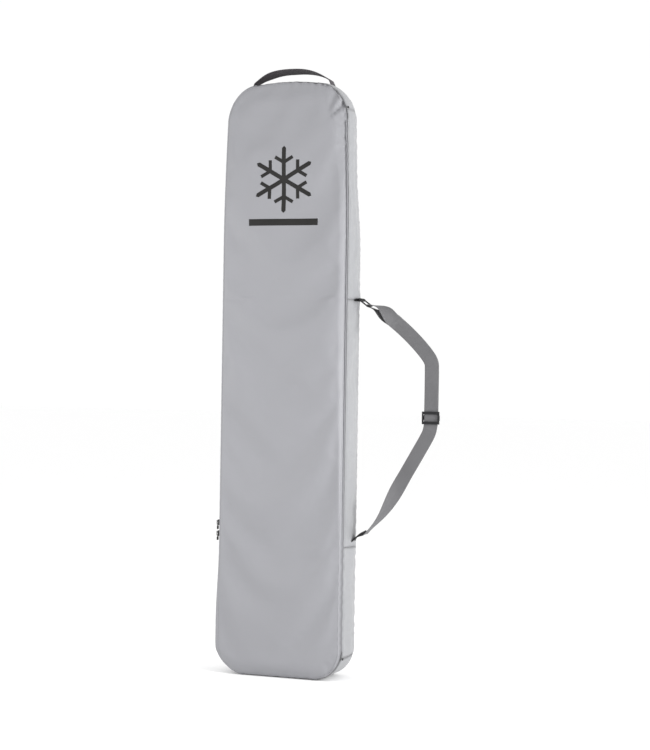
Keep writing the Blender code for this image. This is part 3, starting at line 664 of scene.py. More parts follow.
def build_back_panel():
    x, z, d = GRID_X, GRID_Z, DISTANCE
    rim = back_face(EDGE_Z[NEAREST]) - BACK_WRAP
    face = back_face(z) + 0.0020 * (1.0 - (x / ROWS[:, 0][:, None]) ** 2) * smooth(d / 0.06)
    rounded = np.sqrt(1.0 - (1.0 - np.clip(d / 0.018, 0.0, 1.0)) ** 2)
    y = rim + (face - rim) * rounded
    y += 0.0012 * smooth(d / 0.05) * waves(x + 0.3 * z, z, 14, 7, 0.26, 0.30)
    at = np.stack([x, y, z], 2)
    moved = settled("settle_back", at, panel_border(x.shape), BACK_SLACK, (90, 26))
    moved *= smooth((d - 0.004) / 0.030)[:, :, None]
    y += moved[:, :, 1]
    y += seam_puckers(EDGE_S[NEAREST], d, 0.0005)
    pull = SEAM_DIP * bump(d / SEAM_REACH)
    points = np.stack([x - EDGE_NX[NEAREST] * pull, y, z - EDGE_NZ[NEAREST] * pull], 2)
    mesh = grid_mesh("panel_back", points, np.stack([x, z], 2), flip=True)
    # mask of the painted shade along the seams, read by the cloth material
    paint(mesh, "seam", bump(d / SEAM_SHADE))
    obj = add_piece("panel_back", mesh, bag_cloth(), "shell", ["back_panel"])
    thicken(obj, CLOTH)
    return obj


# Zipper and tapes


def zip_run():
    """The border points that the zipper runs along, from the hinge's top end round to its bottom end."""
    return list(range(nearest_row(TOP_END), len(BORDER))) + list(range(0, nearest_row(BOTTOM_END) + 1))


def fine_path(chosen, spacing):
    """x, z, outward x, outward z and length along a run of border points, evenly spaced."""
    x, z, nx, nz = (values[chosen] for values in (EDGE_X, EDGE_Z, EDGE_NX, EDGE_NZ))
    along = np.concatenate([[0.0], np.cumsum(np.hypot(np.diff(x), np.diff(z)))])
    s = np.linspace(0.0, along[-1], max(2, round(along[-1] / spacing)) + 1)
    return [np.interp(s, along, values) for values in (x, z, nx, nz)] + [s]


def strip(name, chosen, inset, low, high, finish, body, slot, node):
    """A woven tape along a run of border points, set in from the outline, between two depths."""
    x, z, nx, nz, s = fine_path(chosen, STRIP_STEP)
    share = np.linspace(0.0, 1.0, 6)
    low, high = (value(z) if callable(value) else np.full(len(z), value) for value in (low, high))
    y = low[None, :] + (high - low)[None, :] * share[:, None]
    sag = inset + 0.0002 * np.sin(s / 0.006)[None, :] * np.ones((6, 1))
    points = np.stack([x[None, :] - nx[None, :] * sag, y, z[None, :] - nz[None, :] * sag], 2)
    uv = np.stack([y, np.repeat(s[None, :], 6, axis=0)], 2)
    obj = add_piece(name, grid_mesh(name, points, uv, flip=True), finish, body, [node])
    return thicken(obj, 0.0007)


def coil(name, side, body, node):
    """Half of the nylon coil: a rounded cord whose turns stand up as teeth between the other half's."""
    x, z, nx, nz, s = fine_path(zip_run(), COIL_PITCH / 4)
    share = np.linspace(0.0, 1.0, 7)[:, None]
    phase = 2 * math.pi * s / COIL_PITCH + (0.0 if side > 0 else math.pi)
    turn = 0.5 + 0.5 * np.cos(phase + 1.2 * share)
    rise = COIL_RISE * np.sqrt(np.clip(np.sin(math.pi * share), 0, 1)) * (0.35 + 0.65 * turn)
    lean = 0.0005 * turn * (1.0 - share)
    y = PARTING + side * (0.0004 + COIL_WIDTH * share) - side * lean
    out = rise - TAPE_INSET + 0.0001
    points = np.stack([x + nx * out, y, z + nz * out], 2)
    uv = np.stack([y, np.repeat(s[None, :], 7, axis=0)], 2)
    add_piece(name, grid_mesh(name, points, uv, flip=side > 0), zipper_coil(), body, [node])


def build_zipper():
    run = zip_run()
    lid = (PARTING - TAPE_REACH, PARTING - 0.0003)
    base = (PARTING + 0.0003, PARTING + BASE_TAPE_REACH)
    strip("tape_lid", run, TAPE_INSET, *lid, zipper_tape(), "lid", "zipper_black", "lid_zipper_tape")
    strip("tape_base", run, TAPE_INSET, *base, zipper_tape(), "shell", "zipper_black", "base_zipper_tape")
    coil("coil_lid", -1, "lid", "lid_zipper_coil")
    coil("coil_base", 1, "shell", "base_zipper_coil")


def build_bindings():
    """Woven bindings over the raw seams inside, and the reinforcement patches."""
    everything = list(range(len(BORDER))) + [0]

    def seam_front(z):
        return back_face(z) - BACK_WRAP - 0.014

    def seam_back(z):
        return back_face(z) - BACK_WRAP - 0.001

    tape, slot = zipper_tape(), "zipper_black"
    bound, node = (seam_front, seam_back), "back_seam_binding"
    strip("binding_back", everything, BINDING_INSET, *bound, tape, "shell", slot, node)
    bottom, lower = nearest_row(BOTTOM_END + 0.01), nearest_row(LOWER_SEAM)
    upper, top = nearest_row(UPPER_SEAM), nearest_row(TOP_END - 0.01)
    hinge = list(range(bottom, top + 1))
    front = PARTING + 0.001
    bound = (front, front + 0.014)
    strip("binding_hinge", hinge, BINDING_INSET, *bound, tape, "shell", slot, "hinge_seam_binding")
    patch = (STRAP_DEPTH - PATCH_HALF, STRAP_DEPTH + PATCH_HALF)
    for name, row in (("upper", upper), ("lower", lower)):
        run, node = list(range(row - 5, row + 6)), "strap_patch_" + name
        strip("patch_strap_" + name, run, BINDING_INSET + 0.001, *patch, tape, "shell", slot, node)
    corner = [i for i in range(len(BORDER)) if EDGE_Z[i] > TOP_CORNER]
    for name, sign in (("right", 1), ("left", -1)):
        run = [i for i in corner if abs(sign * EDGE_X[i] - HANDLE_FOOT) < 0.022]
        low, high, node = HANDLE_DEPTH - PATCH_HALF, HANDLE_DEPTH + PATCH_HALF, "handle_patch_" + name
        strip("patch_handle_" + name, run, BINDING_INSET, low, high, tape, "shell", slot, node)


def build_hinge_seam():
    """The turned-in edges of the seam that the front panel turns on."""
    run = list(range(nearest_row(BOTTOM_CORNER), nearest_row(TOP_CORNER) + 1))
    x, z, nx, nz, s = fine_path(run, STRIP_STEP)
    every = np.ones((11, 1))
    y = PARTING + np.linspace(-SEAM_STRIP, SEAM_STRIP, len(every))[:, None] * np.ones((1, len(z)))
    points = np.stack([(x - nx * SEAM_REACH) * every, y, (z - nz * SEAM_REACH) * every], 2)
    mesh = grid_mesh("seam_hinge", points, np.stack([y, s * every], 2), flip=True)
    mesh.materials.append(bag_cloth())
    thicken(add_bending("seam_hinge", mesh), 0.0003)


# Webbing


def curve_through(points, spacing):
    """A smooth curve through a few points (Catmull-Rom), as a list about spacing apart."""
    padded = [points[0] * 2 - points[1]] + points + [points[-1] * 2 - points[-2]]
    found = [points[0]]
    for a, b, c, d in zip(padded, padded[1:], padded[2:], padded[3:]):
        steps = max(2, round((c - b).length / spacing))
        for i in range(1, steps + 1):
            t = i / steps
            point = (
                b * 2
                + (c - a) * t
                + (a * 2 - b * 5 + c * 4 - d) * t**2
                + (b * 3 - a - c * 3 + d) * t**3
            )
            found.append(point * 0.5)
    return found


def lengths(points):
    """How far along a path each of its points is."""
    reach = [0.0]
    for a, b in zip(points, points[1:]):
        reach.append(reach[-1] + (b - a).length)
    return reach


def web_section(width, thick):
    """Half-depths across flat webbing: ribs on both faces and rounded selvedges."""
    count = round(width / RIB_STEP) * 4
    u = np.linspace(-0.5, 0.5, count + 1) * width
    edge = (width / 2 - np.abs(u)) / 0.0012
    body = thick / 2 * np.sqrt(np.clip(1.0 - (1.0 - np.clip(edge, 0.0, 1.0)) ** 2, 0.04, 1.0))
    rib = RIB_RISE * (0.5 + 0.5 * np.cos(2 * math.pi * u / RIB_STEP)) * np.clip(edge, 0.0, 1.0)
    return u, body - RIB_RISE + rib


def webbing(name, centres, across, width, thick, finish, wander=0.0):
    """Ribbed webbing along a path: a closed mesh whose UVs run across and along it in metres."""
    u, depth = web_section(width, thick)
    reach = lengths(centres)
    last = len(centres) - 1
    rings, uv = [], []
    for i, centre in enumerate(centres):
        along = (centres[min(i + 1, last)] - centres[max(i - 1, 0)]).normalized()
        side = (across[i] - along * across[i].dot(along)).normalized()
        face = along.cross(side)
        tilt = wander * math.sin(reach[i] / 0.045) + wander * 0.6 * math.sin(reach[i] / 0.019 + 1.0)
        front = [centre + side * a + face * (b + tilt * a / width) for a, b in zip(u, depth)]
        back = [centre + side * a - face * (b - tilt * a / width) for a, b in zip(u[::-1], depth[::-1])]
        rings.append([tuple(v) for v in front + back])
        uv.append([(a, reach[i]) for a in u] + [(a, reach[i]) for a in u[::-1]])
    mesh = grid_mesh(name, np.array(rings), np.array(uv), around=True)
    mesh.materials.append(finish)
    bm = bmesh.new()
    bm.from_mesh(mesh)
    bm.verts.ensure_lookup_table()
    wide = 2 * len(u)
    for ring in (0, last):
        loop = [bm.verts[ring * wide + k] for k in range(wide)]
        for k in range(len(u) - 1):
            bm.faces.new((loop[k], loop[k + 1], loop[wide - 2 - k], loop[wide - 1 - k]))
    bm.to_mesh(mesh)
    bm.free()
    return with_outward_normals(mesh)


def strand(route, turns, offsets, side):
    """One strand beside the route: turned about it by an angle, and set off along its own face."""
    centres, across = [], []
    last = len(route) - 1
    for i, point in enumerate(route):
        along = (route[min(i + 1, last)] - route[max(i - 1, 0)]).normalized()
        in_plane = Vector((-along.z, 0.0, along.x))
        turn = turns[i]
        across.append(in_plane * math.cos(turn) + Vector((0.0, math.sin(turn), 0.0)))
        outward = in_plane * math.sin(turn) - Vector((0.0, math.cos(turn), 0.0))
        centres.append(point + outward * (offsets[i] * side))
    return centres, across


def ease(t):
    return float(smooth(t))


def strap_lower_path():
    points = [Vector((x, STRAP_DEPTH, z)) for x, z in STRAP_LOWER_ROUTE + (STRAP_LOWER_END,)]
    return curve_through(points, 0.004)


def build_strap():
    """One webbing: up from the lower tab in front, round the ring's bar, and back down behind."""
    upper = [Vector((x, STRAP_DEPTH, z)) for x, z in (RING_OUTER_BAR,) + STRAP_UPPER_ROUTE]
    upper = curve_through(upper, 0.004)
    turns, offsets = [], []
    for s in lengths(upper):
        turns.append(math.pi / 2 * (1.0 - ease((s - UPPER_TWIST[0]) / UPPER_TWIST[1])))
        opening = math.sin(math.pi * min(s / LOOP_LENGTH, 1.0)) ** 2
        base = WRAP_OFFSET + (STRAND_OFFSET - WRAP_OFFSET) * ease(s / LOOP_LENGTH)
        offsets.append(base + (LOOP_OFFSET - WRAP_OFFSET) * opening)
    front, front_across = strand(upper, turns, offsets, 1.0)
    behind, behind_across = strand(upper, turns, offsets, -1.0)
    lower = strap_lower_path()
    reach = lengths(lower)
    start, shorter = LOWER_TWIST
    low_turns = [math.pi / 2 * ease((s - start) / (reach[-1] - shorter)) for s in reach]
    low, low_across = strand(lower, low_turns, [STRAND_OFFSET] * len(lower), 1.0)
    along = (upper[1] - upper[0]).normalized()
    outward = Vector((-along.z, 0.0, along.x))
    wrap = []
    for i in range(1, 16):
        a = math.pi * i / 16
        wrap.append(upper[0] + (outward * math.cos(a) - along * math.sin(a)) * WRAP_OFFSET)
    straight = [front[-1].lerp(low[0], k / 30) for k in range(1, 30)]
    end = TRIGLIDE_LOW.z + (TRIGLIDE_HIGH.z - TRIGLIDE_LOW.z) * 0.2
    tail = [behind[-1].lerp(Vector((behind[-1].x, behind[-1].y, end)), k / 30) for k in range(1, 31)]
    depth = Vector((0.0, 1.0, 0.0))
    centres = low[::-1] + straight[::-1] + front[::-1] + wrap + behind + tail
    across = low_across[::-1] + [front_across[-1]] * len(straight) + front_across[::-1]
    across += [depth] * len(wrap) + behind_across + [behind_across[-1]] * len(tail)
    mesh = webbing("shoulder_strap", centres, across, WEB, WEB_THICK, grey_webbing(), wander=0.0008)
    add_piece("shoulder_strap", mesh, None, "strap", ["strap_webbing"])


def build_tabs():
    """The black tabs: the upper is folded round the ring's inner bar, the lower sewn to the strap's end."""
    bar = Vector((RING_INNER_BAR[0], STRAP_DEPTH, RING_INNER_BAR[1]))
    root = Vector((HALF + 0.0006, STRAP_DEPTH, UPPER_SEAM))
    along = (bar - root).normalized()
    outward = Vector((-along.z, 0.0, along.x))
    depth = Vector((0.0, 1.0, 0.0))
    face, middle = outward * 0.0014, root.lerp(bar, 0.5)
    start = [root + face - along * 0.004, root + face, middle + outward * 0.0026]
    turn = []
    for i in range(13):
        a = math.pi * i / 12
        turn.append(bar + (outward * math.cos(a) + along * math.sin(a)) * WRAP_OFFSET)
    end = [middle - outward * 0.0026, root - face, root - face - along * 0.004]
    centres = curve_through(start + turn + end, 0.002)
    upper = webbing("tab_upper", centres, [depth] * len(centres), WEB, WEB_THICK, black_webbing())
    low_end = Vector((STRAP_LOWER_END[0], STRAP_DEPTH, STRAP_LOWER_END[1]))
    root = Vector((HALF - 0.002, STRAP_DEPTH, LOWER_SEAM))
    bend = Vector((HALF + 0.016, STRAP_DEPTH, LOWER_SEAM + 0.026))
    along = (low_end - bend).normalized()
    outward = Vector((-along.z, 0.0, along.x))
    last = low_end + outward * STRAND_OFFSET + along * 0.0010
    centres = curve_through([root, bend, last], 0.003)
    turns = [TAB_TURN * k for k in np.linspace(0, 1, len(centres))]
    across = [depth * math.cos(turn) + outward * math.sin(turn) for turn in turns]
    lower = webbing("tab_lower", centres, across, WEB, 0.0030, black_webbing())
    for name, mesh in (("upper", upper), ("lower", lower)):
        start = Vector((HALF + 0.002, STRAP_DEPTH, mesh.vertices[0].co.z))
        end, node = start + Vector((0.020, 0.0, 0.0)), "strap_tab_" + name
        add_bending("tab_" + name, mesh, [node])


def handle_path():
    """The haul handle's middle line, from the left foot over the arch to the right foot."""
    foot = TOP_CORNER + (TOP_SHOULDER - TOP_CORNER) * math.sin(
        math.acos((HANDLE_FOOT - TOP_INNER) / (float(half_width(TOP_CORNER)) - TOP_INNER))
    )
    ends = []
    for side in (-1, 1):
        start = Vector((side * (HANDLE_FOOT + 0.0012), HANDLE_DEPTH, foot + 0.0012))
        ends.append((start, Vector((side * (HANDLE_FOOT - 0.0060), HANDLE_DEPTH, HANDLE_PIVOT))))
    (left_foot, left), (right_foot, right) = ends
    rise = HANDLE_HIGH.z - 0.004 - left.z
    arch = []
    for k in range(73):
        t = k / 72
        height = left.z + rise * (1.0 - abs(2 * t - 1) ** HANDLE_CURVE)
        arch.append(Vector((left.x + (right.x - left.x) * t, HANDLE_DEPTH, height)))
    left_tab = [left_foot.lerp(left, k / 5) for k in range(5)]
    right_tab = [right.lerp(right_foot, k / 5) for k in range(1, 6)]
    return left_tab + arch + right_tab


def build_handle():
    """One thick webbing from foot to foot, which bends where it leaves the top edge."""
    centres = handle_path()
    across = []
    for centre in centres:
        t = min(max((centre.x + HANDLE_FOOT) / (2 * HANDLE_FOOT), 0.0), 1.0)
        lean = HANDLE_LEAN * ease(t / 0.22) * (1.0 - ease((t - 0.45) / 0.5))
        across.append(Vector((0.0, math.cos(lean), -math.sin(lean))))
    finish = dark_webbing()
    mesh = webbing("handle_webbing", centres, across, WEB - 0.001, HANDLE_THICK, finish, wander=0.0012)
    low = Vector((0.0, HANDLE_DEPTH, HANDLE_PIVOT - 0.006))
    high, nodes = low + Vector((0.0, 0.0, 0.018)), ("haul_handle", "handle_tab_left", "handle_tab_right")
    add_bending("handle_webbing", mesh, nodes)


def build_side_loop():
    """A small webbing loop on the left wall, flat on it at both ends."""
    low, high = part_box("side_loop")
    middle, half, reach = (low.z + high.z) / 2, (high.z - low.z) / 2, -low.x - HALF + 0.0005
    points = []
    for k in range(41):
        t = -1.0 + 2.0 * k / 40
        z = middle + half * t
        rise = (reach - WEB_THICK) * (1.0 - abs(t) ** 3)
        out = BELLY + WEB_THICK / 2 + max(rise - BELLY, 0.0)
        points.append(Vector((-float(half_width(z)) - out, 0.0, z)))
    across = [Vector((0.0, 1.0, 0.0))] * len(points)
    mesh = webbing("loop_webbing", points, across, high.y - low.y, WEB_THICK, grey_webbing())
    add_piece("loop_webbing", mesh, None, "shell", ["side_loop"])


# Hardware


def wire(name, corners, radius, thick, finish, body, node):
    """A closed loop of round wire through corners that are rounded to a radius."""
    points = []
    count = len(corners)
    for i, corner in enumerate(corners):
        before = (corners[i - 1] - corner).normalized()
        after = (corners[(i + 1) % count] - corner).normalized()
        start, end = corner + before * radius, corner + after * radius
        for k in range(9):
            t = k / 8
            points.append(start * (1 - t) ** 2 + corner * (2 * t * (1 - t)) + end * t**2)
    normal = (corners[1] - corners[0]).cross(corners[2] - corners[1]).normalized()
    total = len(points)
    rings, uv = [], []
    for i, point in enumerate(points):
        along = (points[(i + 1) % total] - points[i - 1]).normalized()
        side = along.cross(normal)
        turns = [2 * math.pi * k / 14 for k in range(14)]
        rings.append([tuple(point + (side * math.cos(a) + normal * math.sin(a)) * thick) for a in turns])
        uv.append([(k * 0.0005, i * 0.0005) for k in range(14)])
    rings.append(rings[0])
    uv.append(uv[0])
    mesh = with_outward_normals(grid_mesh(name, np.array(rings), np.array(uv), around=True), weld=True)
    return add_piece(name, mesh, finish, body, [node])


def build_ring():
    inner = Vector((RING_INNER_BAR[0], STRAP_DEPTH, RING_INNER_BAR[1]))
    outer = Vector((RING_OUTER_BAR[0], STRAP_DEPTH, RING_OUTER_BAR[1]))
    half = Vector((0.0, WEB / 2 + RING_WIRE + 0.0020, 0.0))
    corners = [inner - half, outer - half, outer + half, inner + half]
    wire("ring", corners, 0.0040, RING_WIRE, black_acetal(), "strap", "strap_ring")


def build_links():
    """The wire link of each pull."""
    for word in ("upper", "lower"):
        low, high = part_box("pull_link_" + word)
        thick = (high.x - low.x) / 2
        x = (low.x + high.x) / 2
        near, far, top, bottom = low.y + thick, high.y - thick, high.z - thick, low.z + thick
        corners = [Vector((x, y, z)) for y, z in ((near, top), (far, top), (far, bottom), (near, bottom))]
        wire("link_" + word, corners, 0.0022, thick, black_acetal(), "pull_" + word, "pull_link_" + word)


def finish_hardware():
    """Moulded parts keep their frame shapes, with rounded edges and a plastic finish."""
    rounding = {
        "slider_upper": 0.0004,
        "slider_lower": 0.0004,
        "pull_grip_upper": 0.0008,
        "pull_grip_lower": 0.0008,
        "triglide": 0.0007,
        "zipper_stop_top": 0.0005,
        "zipper_stop_bottom": 0.0005,
    }
    for name, width in rounding.items():
        obj = frame["nodes"][name]
        for place in obj.material_slots:
            place.material = black_acetal()
        edges = obj.modifiers.new("rounded", "BEVEL")
        edges.width = width
        edges.segments = 3
        edges.limit_method = "ANGLE"
        edges.harden_normals = False


# Print and stitching


def surface_tree(obj):
    """The outside of a fabric piece, for laying things on it."""
    mesh = obj.data
    return BVHTree.FromPolygons([v.co for v in mesh.vertices], [p.vertices for p in mesh.polygons])


def laid_film(name, outline, tree, node):
    """A print film that follows the front panel: an outline in x and z cut small and pressed onto it."""
    bm = bmesh.new()
    bm.faces.new([bm.verts.new((x, -1.0, z)) for x, z in outline])
    cell = 0.004
    for axis, values in ((0, [x for x, _ in outline]), (2, [z for _, z in outline])):
        low, high = min(values), max(values)
        for k in range(1, math.ceil((high - low) / cell)):
            place, normal = [0.0, 0.0, 0.0], [0.0, 0.0, 0.0]
            place[axis], normal[axis] = low + k * cell, 1.0
            geometry = bm.verts[:] + bm.edges[:] + bm.faces[:]
            bmesh.ops.bisect_plane(bm, geom=geometry, plane_co=place, plane_no=normal, dist=1e-6)
    bmesh.ops.triangulate(bm, faces=[face for face in bm.faces if len(face.verts) > 4])
    for vert in bm.verts:
        hit = tree.ray_cast(Vector((vert.co.x, -0.5, vert.co.z)), Vector((0.0, 1.0, 0.0)))[0]
        vert.co = hit + Vector((0.0, -0.00012, 0.0))
    for face in bm.faces:
        face.normal_update()
        if face.normal.y > 0:
            face.normal_flip()
    mesh = bpy.data.meshes.new(name)
    bm.to_mesh(mesh)
    bm.free()
    obj = add_piece(name, mesh, print_film(), "lid", [node])
    thicken(obj, 0.00018, offset=1.0)


EMBLEM_LOW, EMBLEM_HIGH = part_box("print_emblem")
BAR_LOW, BAR_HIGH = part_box("print_bar")


def snowflake():
    """A six-armed snow crystal with one pair of side branches on each arm."""
    half = 0.0058
    radius = (EMBLEM_HIGH.z - EMBLEM_LOW.z) / 2 - half
    middle = (EMBLEM_HIGH.z + EMBLEM_LOW.z) / 2
    slant = math.radians(60.0)
    branch_start, branch_length = radius * 0.52, radius * 0.30
    wide = 2 * half * 0.8
    tip = Vector((math.cos(slant), math.sin(slant)))
    normal = Vector((math.sin(slant), -math.cos(slant)))
    inner = Vector((branch_start, half))
    outer = Vector((branch_start + wide / math.sin(slant), half))
    branch = [inner, inner + tip * branch_length]
    branch += [branch[1] + normal * wide, outer]
    side = [Vector((half / math.tan(math.pi / 6), half))] + branch + [Vector((radius, half))]
    arm = [Vector((p.x, -p.y)) for p in side] + [Vector((radius + half, 0.0))] + side[::-1]
    points = []
    for k in range(6):
        turn = Matrix.Rotation(math.pi / 2 + k * math.pi / 3, 2)
        for p in arm[:-1]:
            q = turn @ p
            points.append((q.x, middle + q.y))
    return points


def build_print(tree):
    laid_film("emblem", snowflake(), tree, "print_emblem")
    (left, _, low), (right, _, high) = BAR_LOW, BAR_HIGH
    laid_film("bar", [(left, low), (right, low), (right, high), (left, high)], tree, "print_bar")


def thread(name, places, finish, body):
    """A row of stitches: (middle, along, outward) each, as little rounded bars pressed into the cloth."""
    verts, faces = [], []
    for middle, along, outward in places:
        side = along.cross(outward)
        base = len(verts)
        for step, size in ((-1.0, 0.35), (-0.55, 1.0), (0.55, 1.0), (1.0, 0.35)):
            sink = -0.0002 if abs(step) == 1.0 else 0.0
            at = middle + along * (step * STITCH_HALF) + outward * sink
            for a in (0.5, 1.5, 2.5, 3.5, 4.5, 5.5):
                b = a * math.pi / 3
                ring = side * math.cos(b) * THREAD_HALF + outward * math.sin(b) * THREAD_RISE
                verts.append(tuple(at + ring * size))
        for r in range(3):
            for k in range(6):
                m = (k + 1) % 6
                low = base + r * 6
                faces.append([low + k, low + m, low + 6 + m, low + 6 + k])
        faces.append([base + k for k in range(6)])
        faces.append([base + 18 + k for k in reversed(range(6))])
    mesh = bpy.data.meshes.new(name)
    mesh.from_pydata(verts, [], faces)
    mesh.update()
    return add_piece(name, mesh, finish, body)


def seam_stitches(name, tree, chosen, body):
    """Topstitching on the front or back panel, a little way in from the outline."""
    x, z, nx, nz, _ = fine_path(chosen, STITCH_STEP)
    from_front = body == "lid"
    ray = Vector((0.0, 1.0 if from_front else -1.0, 0.0))
    hits = []
    for k in range(len(x)):
        start = Vector((x[k] - nx[k] * TOPSTITCH, -0.5 * ray.y, z[k] - nz[k] * TOPSTITCH))
        hit, normal, _, _ = tree.ray_cast(start, ray)
        if hit is not None:
            hits.append((hit, normal if normal.y * ray.y < 0 else -normal))
    return stitch_run(name, hits, body)


def stitch_run(name, hits, body):
    places = []
    for k in range(1, len(hits) - 1):
        along = (hits[k + 1][0] - hits[k - 1][0]).normalized()
        outward = (hits[k][1] - along * hits[k][1].dot(along)).normalized()
        places.append((hits[k][0] + outward * 0.0001, along, outward))
    return thread(name, places, sewing_thread(), body)


def wall_stitches(name, tree, chosen, depth_of):
    """Topstitching on the walls beside a seam, at a depth that follows the height."""
    x, z, nx, nz, _ = fine_path(chosen, STITCH_STEP)
    hits = []
    for k in range(len(x)):
        outward = Vector((nx[k], 0.0, nz[k]))
        start = Vector((x[k], float(depth_of(z[k])), z[k])) + outward * 0.05
        hit, normal, _, _ = tree.ray_cast(start, -outward)
        if hit is not None:
            hits.append((hit, normal if normal.dot(outward) > 0 else -normal))
    return stitch_run(name, hits, "shell")


def cross_stitches(name, tree, side, height, low, high):
    """Topstitching across a wall beside a cross seam."""
    hits = []
    for y in np.arange(low, high, STITCH_STEP):
        hit, normal, _, _ = tree.ray_cast(Vector((side * 0.4, y, height)), Vector((-side, 0.0, 0.0)))
        if hit is not None:
            hits.append((hit, normal if normal.x * side > 0 else -normal))
    return stitch_run(name, hits, "shell")


def build_stitching(front, back, walls):
    everything = list(range(len(BORDER))) + [0]
    front_tree, back_tree = surface_tree(front), surface_tree(back)
    seam_stitches("stitch_front", front_tree, everything, "lid")
    seam_stitches("stitch_back", back_tree, everything, "shell")
    points, polygons = [], []
    for wall in walls:
        base = len(points)
        points += [v.co.copy() for v in wall.data.vertices]
        polygons += [[base + i for i in p.vertices] for p in wall.data.polygons]
    tree = BVHTree.FromPolygons(points, polygons)
    wall_stitches("stitch_wall_front", tree, everything, lambda z: PARTING + ZIP_HALF + 0.0045)
    wall_stitches("stitch_wall_back", tree, everything, lambda z: back_face(z) - BACK_WRAP - 0.0045)
    for word, side, height in (
        ("right_upper", 1, UPPER_SEAM),
        ("right_lower", 1, LOWER_SEAM),
        ("left_lower", -1, LOWER_SEAM),
    ):
        low, high = PARTING + 0.010, float(back_face(height)) - BACK_WRAP - 0.006
        for step, word_two in ((0.0046, "over"), (-0.0046, "under")):
            cross_stitches("stitch_" + word + "_" + word_two, tree, side, height + step, low, high)


# Materials


class Nodes:
    """Short calls for building a material's nodes."""

    def __init__(self, name):
        self.material = bpy.data.materials.new(name)
        self.material.use_nodes = True
        self.tree = self.material.node_tree
        self.shader = self.tree.nodes["Principled BSDF"]

    def add(self, kind, **values):
        node = self.tree.nodes.new(kind)
        for key, value in values.items():
            if hasattr(node, key):
                setattr(node, key, value)
            else:
                node.inputs[key.replace("_", " ")].default_value = value
        return node

    def link(self, source, target):
        self.tree.links.new(source, target)

    def set(self, **values):
        """Uniform values on the shader's own sockets."""
        for key, value in values.items():
            self.shader.inputs[key.replace("_", " ")].default_value = value

    def math(self, operation, first, second=None):
        node = self.tree.nodes.new("ShaderNodeMath")
        node.operation = operation
        for socket, value in zip(node.inputs, (first, second)):
            if isinstance(value, (int, float)):
                socket.default_value = value
            elif value is not None:
                self.link(value, socket)
        return node.outputs[0]

    def mix(self, share, first, second):
        node = self.tree.nodes.new("ShaderNodeMix")
        node.data_type = "RGBA"
        for socket, value in ((node.inputs[0], share), (node.inputs[6], first), (node.inputs[7], second)):
            if isinstance(value, (int, float)):
                socket.default_value = value
            elif isinstance(value, tuple):
                socket.default_value = (*value, 1.0)
            else:
                self.link(value, socket)
        return node.outputs[2]

    def noise(self, source, scale, detail=3.0):
        node = self.add("ShaderNodeTexNoise", Scale=scale, Detail=detail)
        self.link(source, node.inputs["Vector"])
        return node.outputs["Fac"]

    def wave(self, source, period, direction, distortion=0.0):
        node = self.add("ShaderNodeTexWave", wave_type="BANDS", bands_direction=direction)
        node.inputs["Scale"].default_value = 0.314159 / period
        node.inputs["Distortion"].default_value = distortion
        self.link(source, node.inputs["Vector"])
        return node.outputs["Fac"]

    def ramp(self, value, low, high):
        node = self.tree.nodes.new("ShaderNodeMapRange")
        node.inputs["From Min"].default_value = 0.0
        node.inputs["From Max"].default_value = 1.0
        node.inputs["To Min"].default_value = low
        node.inputs["To Max"].default_value = high
        self.link(value, node.inputs["Value"])
        return node.outputs["Result"]

    def bumps(self, layers):
        """A chain of bumps: (height, distance in metres, strength)."""
        normal = None
        for height, distance, strength in layers:
            node = self.add("ShaderNodeBump", Distance=distance, Strength=strength)
            self.link(height, node.inputs["Height"])
            if normal is not None:
                self.link(normal, node.inputs["Normal"])
            normal = node.outputs["Normal"]
        self.link(normal, self.shader.inputs["Normal"])

    def uv(self):
        return self.add("ShaderNodeTexCoord").outputs["UV"]

    def place(self):
        return self.add("ShaderNodeTexCoord").outputs["Object"]


MATERIALS = {}


def once(build):
    """Keeps a material so that every piece shares it."""

    def made():
        if build.__name__ not in MATERIALS:
            MATERIALS[build.__name__] = build()
        return MATERIALS[build.__name__]

    return made


def coated_cloth(name, light, dark, roughness):
    """Coated plain-weave polyester: fine weave, faint cloudy tone, painted shade along the seams, which are
    also duller.
    """
    n = Nodes(name)
    uv, place = n.uv(), n.place()
    weave = n.math("MULTIPLY", n.wave(uv, 0.00075, "X"), n.wave(uv, 0.00075, "Y"))
    cloud = n.noise(place, 3.5, 3.0)
    fine = n.noise(place, 55.0, 4.0)
    seam = n.add("ShaderNodeAttribute", attribute_name="seam").outputs["Fac"]
    tone = n.mix(cloud, dark, light)
    tone = n.mix(n.math("MULTIPLY", weave, 0.05), tone, tuple(0.75 * v for v in dark))
    # painted shade: the base colour is darkened along the seams, where the 'seam' attribute is high
    tone = n.mix(n.math("MULTIPLY", seam, 0.80), tone, tuple(0.42 * v for v in dark))
    n.link(tone, n.shader.inputs["Base Color"])
    rough = n.math("ADD", n.ramp(fine, roughness - 0.05, roughness + 0.05), n.math("MULTIPLY", seam, 0.1))
    n.link(rough, n.shader.inputs["Roughness"])
    n.set(Sheen_Weight=0.12, Sheen_Roughness=0.45, Specular_IOR_Level=0.42)
    n.bumps(((weave, 0.00012, 0.35), (fine, 0.0012, 0.16), (n.noise(place, 16.0, 3.0), 0.004, 0.10)))
    return n.material


@once
def bag_cloth():
    return coated_cloth("bag_cloth", (0.262, 0.263, 0.280), (0.244, 0.245, 0.261), 0.52)


@once
def side_cloth():
    return coated_cloth("side_cloth", (0.264, 0.267, 0.277), (0.246, 0.249, 0.259), 0.50)


